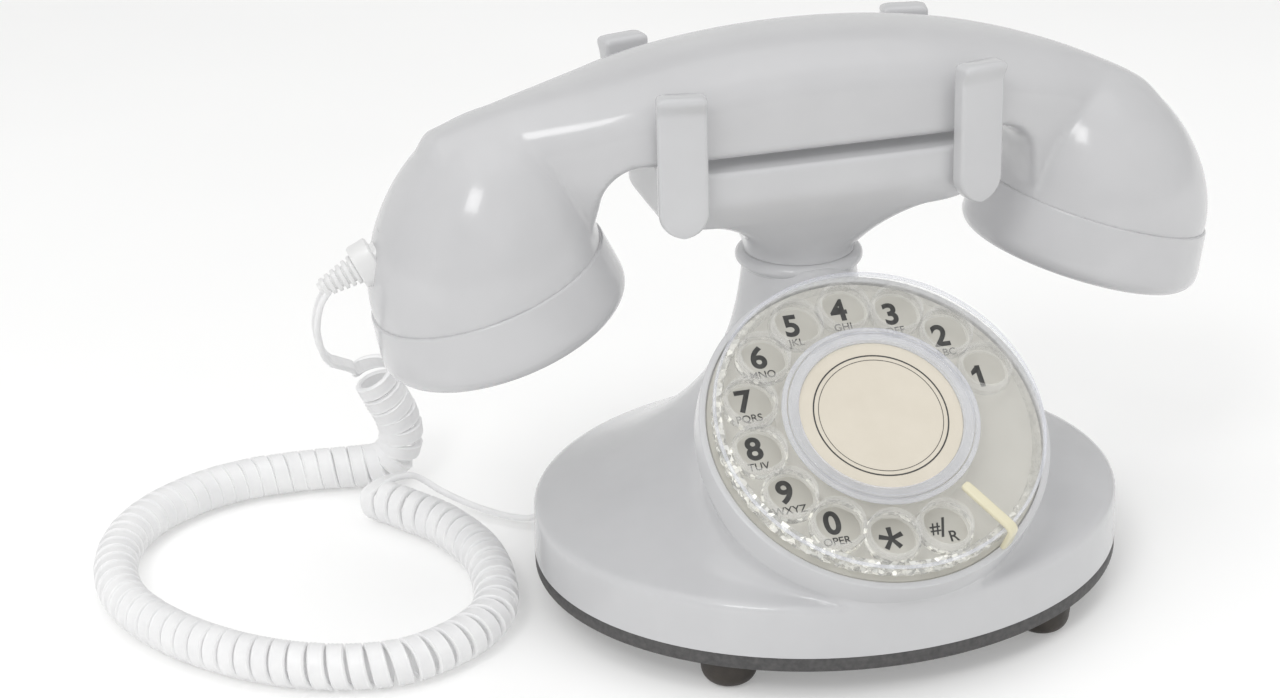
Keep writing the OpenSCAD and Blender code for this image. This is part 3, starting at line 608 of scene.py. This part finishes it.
def rounded_ring(m, x, half_w, half_h, e=4.0, steps=32):
    out = []
    for i in range(steps):
        a = 2 * math.pi * i / steps
        c, s = math.cos(a), math.sin(a)
        out.append(m @ Vector((x, half_w * math.copysign(abs(c) ** (2 / e), c),
                               half_h * math.copysign(abs(s) ** (2 / e), s))))
    return out


def plug_mesh(m):
    rings = [rounded_ring(m, x, w, h) for x, w, h in
             ((-5, 3.6, 3.0), (0.0, 3.6, 3.0), (0.05, 4.1, 4.6), (0.5, 4.6, 5.1), (4.8, 4.5, 5.0),
              (5.3, 4.2, 4.7), (5.35, 3.5, 4.0), (3.4, 3.3, 3.8))]
    return loft(rings)


def boot_mesh(m):
    """Strain relief of six ribs that get smaller away from the plug."""
    rings, x, ribs = [], 5.3, 6
    for i in range(ribs):
        k = 1 - 0.42 * i / ribs
        for dx, g in ((0.0, 0.72), (0.15, 0.97), (0.3, 1.0), (0.95, 0.99), (1.1, 0.95), (1.2, 0.72)):
            rings.append(rounded_ring(m, x + dx, 3.35 * k * g, 3.5 * k * g, 3.0))
        x += 1.65
    rings.append(rounded_ring(m, x + 0.4, 2.1 * 0.8, 1.9 * 0.8, 3.0))
    return loft(rings)


jack = jack_matrix()
plug = piece("plug_collar", plug_mesh(jack), plug_mat, "handset", ("cord_plug",), 40)
boot = piece("plug_boot", boot_mesh(jack), plug_mat, "handset", ("cord_boot",), 40)

# ---------------------------------------------------------------- floor and light
def floor_sheet():
    """A pale sheet that lies flat under the object and curves up far behind it."""
    half = 2.6
    me = bpy.data.meshes.new("floor")
    rows = [(y, 0.0) for y in (-half, -1.0, 0.0, 1.0)]
    rows += [(1.4 + 0.9 * t, (t ** 2.4) * 1.6) for t in (0.0, 0.25, 0.5, 0.75, 1.0)]
    verts = [(x, y, z) for y, z in rows for x in (-half, half)]
    faces = [(2 * i, 2 * i + 1, 2 * i + 3, 2 * i + 2) for i in range(len(rows) - 1)]
    me.from_pydata(verts, [], faces)
    floor = bpy.data.objects.new("floor", me)
    bpy.context.scene.collection.objects.link(floor)
    for p in me.polygons:
        p.use_smooth = True
    mat = moulded("pale_floor", (0.90, 0.90, 0.895), (0.93, 0.93, 0.925), rough=(0.75, 0.85), grain=60.0,
                  bump=0.02, coat=0.0, patch=3.0, specular=0.2)
    me.materials.append(mat)


def lights():
    """A key and a top light with shadows, and soft fills without shadows or reflections."""
    for name, place, aim, size, power, shadow in (
            ("key", (-0.9, -1.0, 1.5), (0, 0, 0.05), (0.5, 0.5), 5, True),
            ("top", (0.0, 0.2, 1.8), (0, 0, 0.05), (2.0, 2.0), 5, True),
            ("overhead", (-0.1, -0.1, 1.8), (0, 0, 0.05), (2.0, 2.0), 11, False),
            ("front", (-0.25, -1.6, 0.75), (0, 0, 0.06), (1.6, 1.0), 7, False),
            ("left", (-1.3, -0.3, 0.35), (0, 0, 0.06), (0.8, 0.8), 4, False),
            ("right", (1.3, -0.5, 0.5), (0, 0, 0.06), (0.8, 0.8), 4, False)):
        light = bpy.data.lights.new(name, "AREA")
        light.shape, light.size, light.size_y, light.energy = "RECTANGLE", *size, power
        light.use_shadow = shadow
        ob = bpy.data.objects.new(name, light)
        ob.visible_glossy = shadow
        ob.location = place
        ob.rotation_euler = (Vector(aim) - Vector(place)).to_track_quat("-Z", "Y").to_euler()
        bpy.context.scene.collection.objects.link(ob)


def surroundings():
    world = bpy.data.worlds.new("studio")
    world.use_nodes = True
    world.node_tree.nodes["Background"].inputs["Color"].default_value = (1, 1, 1, 1)
    world.node_tree.nodes["Background"].inputs["Strength"].default_value = 0.50
    bpy.context.scene.world = world
    bpy.context.scene.view_settings.view_transform = "Standard"


floor_sheet()
lights()
surroundings()

# ---------------------------------------------------------------- bell base
flare_h = 15.0
edge_in = 1.5
end_e = math.exp((crease_z - neck_top) / flare_h)
flare = base_a - neck_r
# the dial's shoulder, in the dial's own frame: a drum that tapers behind the cone's start
drum_r, drum_front, drum_back, cone_from = 42.1, -9.0, -45.0, -15.0
cone_cos, cone_sin = 0.906, 0.423
recess_z, recess_r = -8.8, 44.0


def inset_table():
    """How far the bell has drawn in at each height, with a small radius at the crease."""
    slope = flare_h * (1 - end_e) / flare
    t = np.linspace(0, 1, 30)
    z = [(1 - t) ** 2 * (crease_z - 1.5) + 2 * t * (1 - t) * crease_z + t * t * (crease_z + edge_in * slope)]
    d = [edge_in * t * t]
    k = 1 - edge_in / flare - np.linspace(0, 1 - edge_in / flare, 200)[1:]
    z.append(crease_z - flare_h * np.log(k * (1 - end_e) + end_e))
    d.append(flare * (1 - k))
    return np.concatenate([[0, crease_z - 1.6], *z, [200]]), np.concatenate([[0, 0], *d, [flare]])


inset_z, inset_d = inset_table()


def bell_shape(x, y, z):
    d = np.interp(z, inset_z, inset_d)
    lean = 0.02 * (np.minimum(z, crease_z) - shell_z)
    a = base_a - lean - d
    b = base_b - lean - d * (base_b - neck_r) / flare
    return np.hypot(x / a, (y - base_y - (neck_y - base_y) * d / flare) / b) - 1


bell_distance = distance(bell_shape)
dial_up = np.array(dial_m.col[1][:3])


def housing(x, y, z):
    """The bell with the dial's shoulder, which runs back into it with a wide fillet."""
    bell = np.maximum(bell_distance(x, y, z), z - neck_top)
    ly = x * dial_up[0] + (y - dial_at.y) * dial_up[1] + (z - dial_at.z) * dial_up[2]
    lz = x * dial_n.x + (y - dial_at.y) * dial_n.y + (z - dial_at.z) * dial_n.z
    rho = np.hypot(x - dial_at.x, ly)
    drum = np.maximum.reduce([lz - drum_front, rho - drum_r, drum_back - lz,
                              (rho - drum_r) * cone_cos - (lz - cone_from) * cone_sin])
    both = blended(bell, drum, 2 + 12 * ease((ly + 42) / 27))
    return np.maximum(both, np.minimum(lz - recess_z, recess_r - rho))


bell = piece("bell_shell", skin(housing, (-base_a, base_y - base_b, shell_z - 2),
                                (base_a, base_y + base_b, neck_top), 1.1),
             white, "base", ("base_shell",), 70)
trim(bell, (0, 0, shell_z), (0, 0, -1))
jack_window = block(-7.7, 54.1, shell_z + 1.0, 7.7, 80, shell_z + 12.2)
switch_window = block(26.1, 54.1, shell_z + 2.6, 34.9, 80, shell_z + 7.4)
cut(bell, [jack_window, switch_window], 70)

# ---------------------------------------------------------------- plate and feet
plate_rings = []
for z, inset in ((plate_lo[2], 0.5), (plate_lo[2] + 0.15, 0.15), (plate_lo[2] + 0.5, 0),
                 (plate_hi[2] - 0.4, 0), (plate_hi[2] - 0.1, 0.12), (plate_hi[2], 0.4)):
    plate_rings.append([((base_a - inset) * math.cos(2 * math.pi * i / 144),
                         base_y + (base_b - inset) * math.sin(2 * math.pi * i / 144), z) for i in range(144)])
plate = piece("bottom_plate", loft(plate_rings), dark_mat, "base", ("base_plate",))
cut(plate, [rod(Matrix.Translation((sx * 52, base_y + sy * 20, 0)), 3.3, plate_lo[2] - 1, plate_lo[2] + 1.5)
            for sx in (-1, 1) for sy in (-1, 1)])
foot = [(0, plate_lo[2] - 0.05), (0, 0.7), (2.2, 0.7), (2.5, 0.0)] \
    + [(3.4 + 3.4 * math.sin(math.radians(a)), 4 - 4 * math.cos(math.radians(a))) for a in range(0, 91, 10)] \
    + [(6.95, 5.0), (7.0, plate_lo[2] - 0.05)]
feet = [revolve(foot, 64, Matrix.Translation((sx * 40, base_y + sy * 46, 0)))
        for sx in (-1, 1) for sy in (-1, 1)]
piece("rubber_feet", join(feet), rubber_mat, "base", ("base_feet",))

# ---------------------------------------------------------------- collar, cradle, prongs
neck_m = Matrix.Translation((0, neck_y, 0))
collar_z = collar_hi[2] - 2.9
ring_profile = [(13, 77.0), (14.6, 77.0)] + arc(14.75, 77.5, 0.42, -80, 80, 6) \
    + [(14.5, 78.0), (14.45, 78.5)] + arc(14.5, collar_z, 1.6, -82, 82, 16) \
    + [(14.4, collar_hi[2] - 1.2), (13, collar_hi[2] - 1.2)]
piece("neck_beads", revolve(ring_profile, 128, neck_m, closed=True), white, "base",
      ("neck_collar",), 50)

saddle_foot, saddle_top = 81.0, 111.2


def super_ring(a, b, e, z, n=112):
    out = []
    for i in range(n):
        t = 2 * math.pi * i / n
        c, s = math.cos(t), math.sin(t)
        out.append((a * math.copysign(abs(c) ** (2 / e), c),
                    neck_y + b * math.copysign(abs(s) ** (2 / e), s), z))
    return out


def cradle_mesh():
    """The saddle: round at its foot, flared to a rounded oblong with a soft top edge."""
    rings = []
    for h in [0.25 * i for i in range(0, 107)] + [26.7, 26.9, 27.1, 27.25, 27.38, 27.47, 27.5]:
        if h <= 14:
            a = 14 + 23.5 * (1 - math.sqrt(1 - (h / 14) ** 2))
        else:
            a = 37.5 + math.sqrt(6.25 - max(0.0, 16.5 - h) ** 2)
        b = 14 + 10 * ease(h / 22)
        e = 2 + 5 * ease(h / 14)
        edge = max(0.0, h - 26.2)
        inset = 1.3 - math.sqrt(max(0.0, 1.3 ** 2 - edge ** 2))
        rings.append(super_ring(a - inset, b - inset, e, saddle_foot + h / 27.5 * (saddle_top - saddle_foot)))
    return loft(rings)


def rounded_section(w, t0, t1, r, z, m):
    """Rounded rectangle from -w/2 to w/2 across and t0 to t1 through the prong."""
    r = min(r, w / 2 - 0.01, (t1 - t0) / 2 - 0.01)
    out = []
    for cx, cy, a0 in ((w / 2 - r, t1 - r, 0), (-w / 2 + r, t1 - r, 90), (-w / 2 + r, t0 + r, 180),
                       (w / 2 - r, t0 + r, 270)):
        for i in range(6):
            a = math.radians(a0 + 18 * i)
            out.append(m @ Vector((cx + r * math.cos(a), cy + r * math.sin(a), z)))
    return out


def prong_mesh(m):
    """One prong: a flat bar with a round lower end and a crown that leans a little outwards."""
    foot_z, top, r, t = 97.5, cradle_hi[2], 6.0, 2.3
    rings = []
    for u in (0.01, 0.04, 0.1, 0.2, 0.32, 0.46, 0.6, 0.75, 0.88, 1.0):
        z = foot_z + r * u
        half = math.sqrt(max(0.0, r * r - (r - (z - foot_z)) ** 2))
        rings.append(rounded_section(2 * half, -t, t, 1.1, z, m))
    z = foot_z + r
    while z < top - 5.5:
        rings.append(rounded_section(2 * r, -t, t, 1.1, z, m))
        z += 3.0
    for i in range(15):
        u = i / 14
        z = top - 5.2 + 5.2 * u
        flare_out = 1.6 * ease(u * 1.1)
        crown = max(0.0, z - (top - 1.5)) / 1.5
        cap = 1.5 * (1 - math.sqrt(max(0.0, 1 - crown ** 2)))
        rings.append(rounded_section(2 * r - 2 * cap, -t - flare_out + cap * 0.8, t - cap * 0.8, 1.2, z, m))
    return loft(rings)


prongs = []
for sx in (-1, 1):
    for sy in (-1, 1):
        turn = (0 if sy < 0 else 180) - 12 * sx * sy
        prongs.append(prong_mesh(Matrix.Translation((sx * 37.2, neck_y + sy * 25.4, 0))
                                 @ Matrix.Rotation(math.radians(turn), 4, "Z")))
cradle = piece("cradle_saddle", join([cradle_mesh()] + prongs), white, "base", ("cradle",), 45)
cut(cradle, [rod(neck_m, 2.7, 100, 120)], 45)

# ---------------------------------------------------------------- handset
top_z, under_z = hand_hi[2], 111.6
cup_r, cup_x, cup_z, cup_tilt = 29.4, 80.4, 84.3, 17.6
end_x, inner_x, inner_r = 96.0, 53.2, 6.5
half_w = 21.3
# how far the rounding reaches in from the top line and from the underside
soft, soft_low = 13.0, 3.5


def arch(x):
    lift = 6.3 * np.clip((-x - 52) / 40, 0, 1) ** 1.6
    return top_z - 0.0023 * x * x - 6e-8 * x ** 4 + lift


def handle_shape(x, y, z):
    """Below zero inside the handle: its section is rounded by how deep a point lies under the
    top line and inside the arms."""
    ax = np.abs(x)
    slope = 1 / np.sqrt(1 + (0.0046 * x) ** 2)
    top, end = (arch(x) - z) * slope, end_x - ax
    t = np.minimum(top, end)
    corner = 5 - np.hypot(np.maximum(5 - top, 0), np.maximum(5 - end, 0))
    t = np.where((top < 5) & (end < 5), corner, t)
    qx = ax - inner_x - 0.16 * (105 - z) + inner_r
    qz = z - under_z + inner_r
    t2 = np.hypot(np.maximum(qx, 0), np.maximum(qz, 0)) + np.minimum(np.maximum(qx, qz), 0) - inner_r
    p = 2.3  # how square the section is
    thin = np.where(x < 0, 0.4, 0.18) * (1 - ease((z - 86) / 26))
    w = half_w * (1 - 0.44 * ease((ax - 38) / 50)) * (1 - thin)
    a, b = np.maximum(0, 1 - t / soft), np.maximum(0, 1 - t2 / soft_low)
    across = (np.abs(y - neck_y) / w) ** p
    return (across + a ** p + b ** p - (np.minimum(a, 1) * np.minimum(b, 1)) ** p) ** (1 / p) - 1


def cup_m(s):
    m = Matrix.Rotation(math.radians(cup_tilt * s), 4, "Y")
    m.translation = Vector((cup_x * s, neck_y, cup_z))
    return m


def cup_place(s, x, y, z, shift=lambda up: 0):
    """Radius from the cup's axis, which the shift moves, and height above the cup's top face."""
    c, k = math.cos(math.radians(cup_tilt)), math.sin(math.radians(cup_tilt))
    px, pz = x * s - cup_x, z - cup_z
    up = px * k + pz * c
    return np.hypot(px * c - pz * k + shift(up), y - neck_y), up


def dome_distance(s, height, lean):
    """A dome on the tilted cup whose crown leans back towards the middle of the handset."""
    def shape(x, y, z):
        r, h = cup_place(s, x, y, z, lambda up: lean * (np.maximum(up, 0) / height) ** 1.5)
        return np.sqrt((r / cup_r) ** 2 + (np.maximum(h, 0) / height) ** 2) - 1
    return distance(shape)


handle_distance = distance(handle_shape)
left_dome, right_dome = dome_distance(-1, 38.5, 10.0), dome_distance(1, 34, 9.0)


def handset(x, y, z):
    dome = np.where(x < 0, left_dome(x, y, z), right_dome(x, y, z))
    _, height = cup_place(np.where(x < 0, -1, 1), x, y, z)
    return np.maximum(blended(handle_distance(x, y, z), dome, 1.2), -1 - height)


piece("handset_body", skin(handset, (hand_lo[0], neck_y - 30, 70), (hand_hi[0], neck_y + 30, top_z), 1.0),
      white_b, "handset", ("handset_shell",), 70)

cap = [(0, -15.5), (19.5, -15.5), (20.6, -16.05), (22, -16.2)] + arc(27.1, -11.7, 4.5, -90, 0, 10)[0:10] \
    + [(31.55, -11.0), (31.5, -10.2), (30.15, -1.0)] + arc(29.5, -0.65, 0.6, 0, 90, 6) + [(0, -0.04)]
for s, name, node, outer in ((-1, "ear_cap_part", "ear_cap", 12), (1, "mouth_cap_part", "mouth_cap", 10)):
    m = cup_m(s)
    cap_piece = piece(name, revolve(cap, 128, m), white_b, "handset", (node,), 40)
    holes = [(0, 0)]
    for r, count in ((6, 6), (12, outer)):
        holes += [(r * math.cos(2 * math.pi * i / count), r * math.sin(2 * math.pi * i / count))
                  for i in range(count)]
    cut(cap_piece, [rod(m @ Matrix.Translation((x, y, 0)), 1.3, -20, -13.5, 20) for x, y in holes])

# ---------------------------------------------------------------- dial
hole_r, hole_at, hole_first, hole_step = 5.6, 30.9, 17.7, 24.2
hole_ms = [dial_m @ Matrix.Rotation(math.radians(hole_first + hole_step * i), 4, "Z")
           @ Matrix.Translation((hole_at, 0, 0)) for i in range(12)]
bezel = [(40.75, -14), (42.3, -14)] + arc(42.0, -6.3, 0.4, 0, 90, 4) + [(41.1, -5.9)] \
    + arc(41.1, -6.25, 0.35, 90, 180, 4)
piece("dial_rim_ring", revolve(bezel, 144, dial_m, closed=True), white, "base",
      ("dial_bezel",))
plate_profile = [(7.5, -8.4), (40.4, -8.4), (40.5, -8.3), (40.5, -6.75), (40.3, -6.5), (24.4, -6.5),
                 (24.2, -6.62), (23.8, -6.62), (23.6, -6.5), (7.5, -6.5)]
piece("number_plate_face", revolve(plate_profile, 144, dial_m, closed=True), plate_mat, "base",
      ("number_plate",))


def glyphs(text, height, bold):
    """Upright text as a thin solid, centred, of the given capital height in millimetres."""
    cu = bpy.data.curves.new("glyphs", "FONT")
    cu.body, cu.size, cu.offset, cu.extrude = text, 1.0, bold, 0.0
    cu.align_x, cu.resolution_u = "CENTER", 6
    ob = bpy.data.objects.new("glyphs", cu)
    bpy.context.scene.collection.objects.link(ob)
    me = bpy.data.meshes.new_from_object(ob.evaluated_get(bpy.context.evaluated_depsgraph_get()))
    bm = bmesh.new()
    bm.from_mesh(me)
    bmesh.ops.remove_doubles(bm, verts=bm.verts, dist=1e-5)
    got = bmesh.ops.extrude_face_region(bm, geom=bm.faces[:])
    for w in got["geom"]:
        if isinstance(w, bmesh.types.BMVert):
            w.co.z += 0.03
    bmesh.ops.recalc_face_normals(bm, faces=bm.faces)
    pts = [w.co.copy() for w in bm.verts]
    font_cap_height = 0.729
    k = height / font_cap_height
    mid = (min(p.x for p in pts) + max(p.x for p in pts)) / 2
    verts = [Vector(((p.x - mid) * k, p.y * k, p.z * 2.0)) for p in pts]
    bm.verts.index_update()
    faces = [tuple(w.index for w in face.verts) for face in bm.faces]
    bm.free()
    bpy.data.objects.remove(ob)
    return verts, faces


def outline(points, height):
    """A drawn sign as a thin solid, from its outline in millimetres."""
    n = len(points)
    verts = [Vector((x, y, z)) for z in (0, height) for x, y in points]
    faces = [tuple(range(n))[::-1], tuple(range(n, 2 * n))]
    return verts, faces + [(i, (i + 1) % n, n + (i + 1) % n, n + i) for i in range(n)]


def star_sign(arm, width):
    points = []
    for i in range(5):
        a = math.radians(90 + 72 * i)
        d, n = Vector((math.cos(a), math.sin(a))), Vector((-math.sin(a), math.cos(a)))
        b = math.radians(90 + 72 * i + 36)
        points += [d * arm - n * width * 0.55, d * arm + n * width * 0.55,
                   Vector((math.cos(b), math.sin(b))) * width * 0.72]
    return outline([tuple(q) for q in points], 0.06)


marks = []
mark_z = -6.51
labels = [("1", ""), ("2", "ABC"), ("3", "DEF"), ("4", "GHI"), ("5", "JKL"), ("6", "MNO"), ("7", "PQRS"),
          ("8", "TUV"), ("9", "WXYZ"), ("0", "OPER"), ("*", ""), ("#", "")]
for i, (digit, word) in enumerate(labels):
    a = math.radians(hole_first + hole_step * i)
    cx, cy = hole_at * math.cos(a), hole_at * math.sin(a)
    low = (-1.4 if word else -2.6) + 1.0 - 0.7 * math.cos(a)
    signs = [(glyphs(digit, 5.95, 0.03), 0.25, low)]
    if digit == "1":
        flag = outline([(-0.35, 4.0), (-2.0, 3.2), (-2.0, 4.35), (-0.35, 5.9)], 0.06)
        signs.append((flag, 0.35, low))
    if digit == "*":
        signs = [(star_sign(3.0, 1.15), 1.0, 1.45)]
    if digit == "#":
        signs = [(glyphs("#", 3.1, 0.012), -0.9, 0.6), (glyphs("/", 5.0, 0.012), 1.0, -0.4),
                 (glyphs("R", 2.9, 0.012), 3.1, -2.0)]
    if word:
        signs.append((glyphs(word, 2.0, 0.010), 0.25, low - 2.9))
    for (verts, faces), dx, dy in signs:
        marks.append(([dial_m @ (q + Vector((cx + dx, cy + dy, mark_z))) for q in verts], faces))
piece("dial_marks", join(marks), ink_mat, "base", angle=30)

# the clear wheel
web = [(22.6, -1.9), (39.2, -1.9), (39.2, -0.1), (39.0, 0.0), (24.6, 0.0), (24.2, 0.25), (23.0, 0.6),
       (22.6, 0.6)]
wheel = piece("wheel_web", revolve(web, 168, dial_m, closed=True), clear_mat, "wheel",
              ("finger_wheel",))
cut(wheel, [rod(m, hole_r + 0.35, -6, 3, 56) for m in hole_ms])
tube = [(hole_r, -3.7), (hole_r + 0.35, -4.0), (hole_r + 0.75, -3.9), (hole_r + 0.75, -0.05)] \
    + arc(hole_r + 0.38, 0.0, 0.37, 0, 180, 8) + [(hole_r, -0.1)]
piece("finger_holes", join([revolve(tube, 64, m, closed=True) for m in hole_ms]), tube_mat, "wheel",
      angle=40)
hole_facet = [(hole_r + 0.8, -3.8), (hole_r + 1.25, -3.4), (hole_r + 1.25, -2.5), (hole_r + 0.8, -2.1)]
facets = [revolve(hole_facet, 40, m, closed=True) for m in hole_ms]


def facet_rim(profile, n=72):
    """Turned ring whose skin is cut into facets, like pressed glass."""
    rings = []
    for r0, dr, z in profile:
        ring = []
        for i in range(2 * n):
            a = math.pi * i / n
            r = r0 + (dr if i % 2 == 0 else 0)
            ring.append(dial_m @ Vector((r * math.cos(a), r * math.sin(a), z)))
        rings.append(ring)
    return loft(rings, caps=False, around=True)


facets.append(facet_rim([(37.6, 0, -4.9), (39.5, 0.3, -4.9), (39.3, 0.5, -3.7), (39.0, 0.6, -2.6),
                         (39.2, 0.5, -1.6), (38.9, 0.3, -1.1), (37.9, 0, -1.1), (37.4, 0.4, -2.4),
                         (37.8, 0, -3.6)]))
# the facets' material paints glints and dark reflections on them
piece("wheel_facets", join(facets), glint_facet_mat, "wheel", angle=5)
rim = [(39.2, -0.9), (39.85, -0.9), (39.95, -0.8), (39.95, -0.25)] + arc(39.7, -0.2, 0.25, 0, 180, 8) \
    + [(39.3, -0.4), (39.2, -0.5)]
hub = [(22.6, 0.0), (23.8, -0.05), (23.8, 0.3)] + arc(23.5, 0.3, 0.3, 0, 90, 5) + [(22.75, 0.75), (22.6, 0.6)]
piece("wheel_rim", join([revolve(rim, 168, dial_m, closed=True), revolve(hub, 144, dial_m, closed=True)]),
      rim_mat, "wheel", angle=40)
card = [(0, -0.5), (19.5, -0.5), (19.6, -0.4), (19.6, -0.05), (0, 0.0)]
piece("centre_card", revolve(card, 128, dial_m), card_mat, "wheel", ("number_card",))
card_lines = [revolve([(r0, 0), (r1, 0), (r1, 0.03), (r0, 0.03)], 128, dial_m, closed=True)
              for r0, r1 in ((16.0, 16.35), (14.9, 15.05))]
piece("card_ring", join(card_lines), ink_mat, "wheel")
keeper = [(19.75, 0.02), (22.25, 0.0), (22.3, 0.8)] + arc(22.05, 0.85, 0.25, 0, 110, 4) \
    + [(21.6, 0.85), (20.9, 1.05)] + arc(20.15, 0.8, 0.4, 60, 190, 6)
piece("card_keeper", revolve(keeper, 144, dial_m, closed=True), rim_mat, "wheel",
      ("card_retainer",), 30)


def stop_mesh():
    """Finger stop: a rounded bar that lies over the wheel and bends down to the dial's rim."""
    path = [(25.6, 1.45, 0.35), (25.8, 1.47, 0.75), (26.3, 1.5, 0.95), (28, 1.5, 1.0), (34, 1.5, 1.0),
            (39.3, 1.5, 1.0), (40.3, 1.35, 1.02), (40.95, 0.9, 1.06), (41.25, 0.1, 1.1), (41.3, -2.0, 1.25),
            (41.3, -5.9, 1.4)]
    turned = Matrix.Rotation(math.radians(302), 3, "Z")
    rings = []
    for i, (r, z, k) in enumerate(path):
        a, b = path[max(i - 1, 0)], path[min(i + 1, len(path) - 1)]
        t = Vector((b[0] - a[0], 0, b[1] - a[1])).normalized()
        n = Vector((-t.z, 0, t.x))
        rings.append([dial_m @ (turned @ (Vector((r, 0, z)) + n * (p.y * 0.74 * min(k, 1))
                                          + Vector((0, p.x * k, 0))))
                      for p in rounded_section(2.6, -1, 1, 0.7, 0, Matrix.Identity(4))])
    return loft(rings)


piece("stop_hook", stop_mesh(), ivory_mat, "base", ("finger_stop",), 40)

# ---------------------------------------------------------------- finishes of the CAD pieces that stay
finish = {"white_shell": white, "rubber_dark": rubber_mat, "steel": steel_mat, "brass": brass_mat,
          "board_green": green_mat, "black_plastic": black_mat}
made_of = {
    "white_shell": ("hook_plunger", "pulse_cam"),
    "rubber_dark": ("cord_grommet", "receiver_gasket"),
    "brass": ("board_standoffs", "dial_pillars", "dial_shaft", "main_gear", "damper_pinion",
              "pulse_contacts"),
    "board_green": ("main_board",),
    "black_plastic": ("sounder", "hook_switch", "line_jack", "ringer_switch_body", "ringer_switch_knob",
                      "damper_cup", "handset_jack", "microphone_foam")}
by_name = {n: key for key, names in made_of.items() for n in names}
for name, obj in frame["nodes"].items():
    mat = finish[by_name.get(name, "steel")]
    for s in obj.material_slots:
        s.material = mat
    if not obj.material_slots:
        obj.data.materials.append(mat)

bpy.context.view_layer.update()
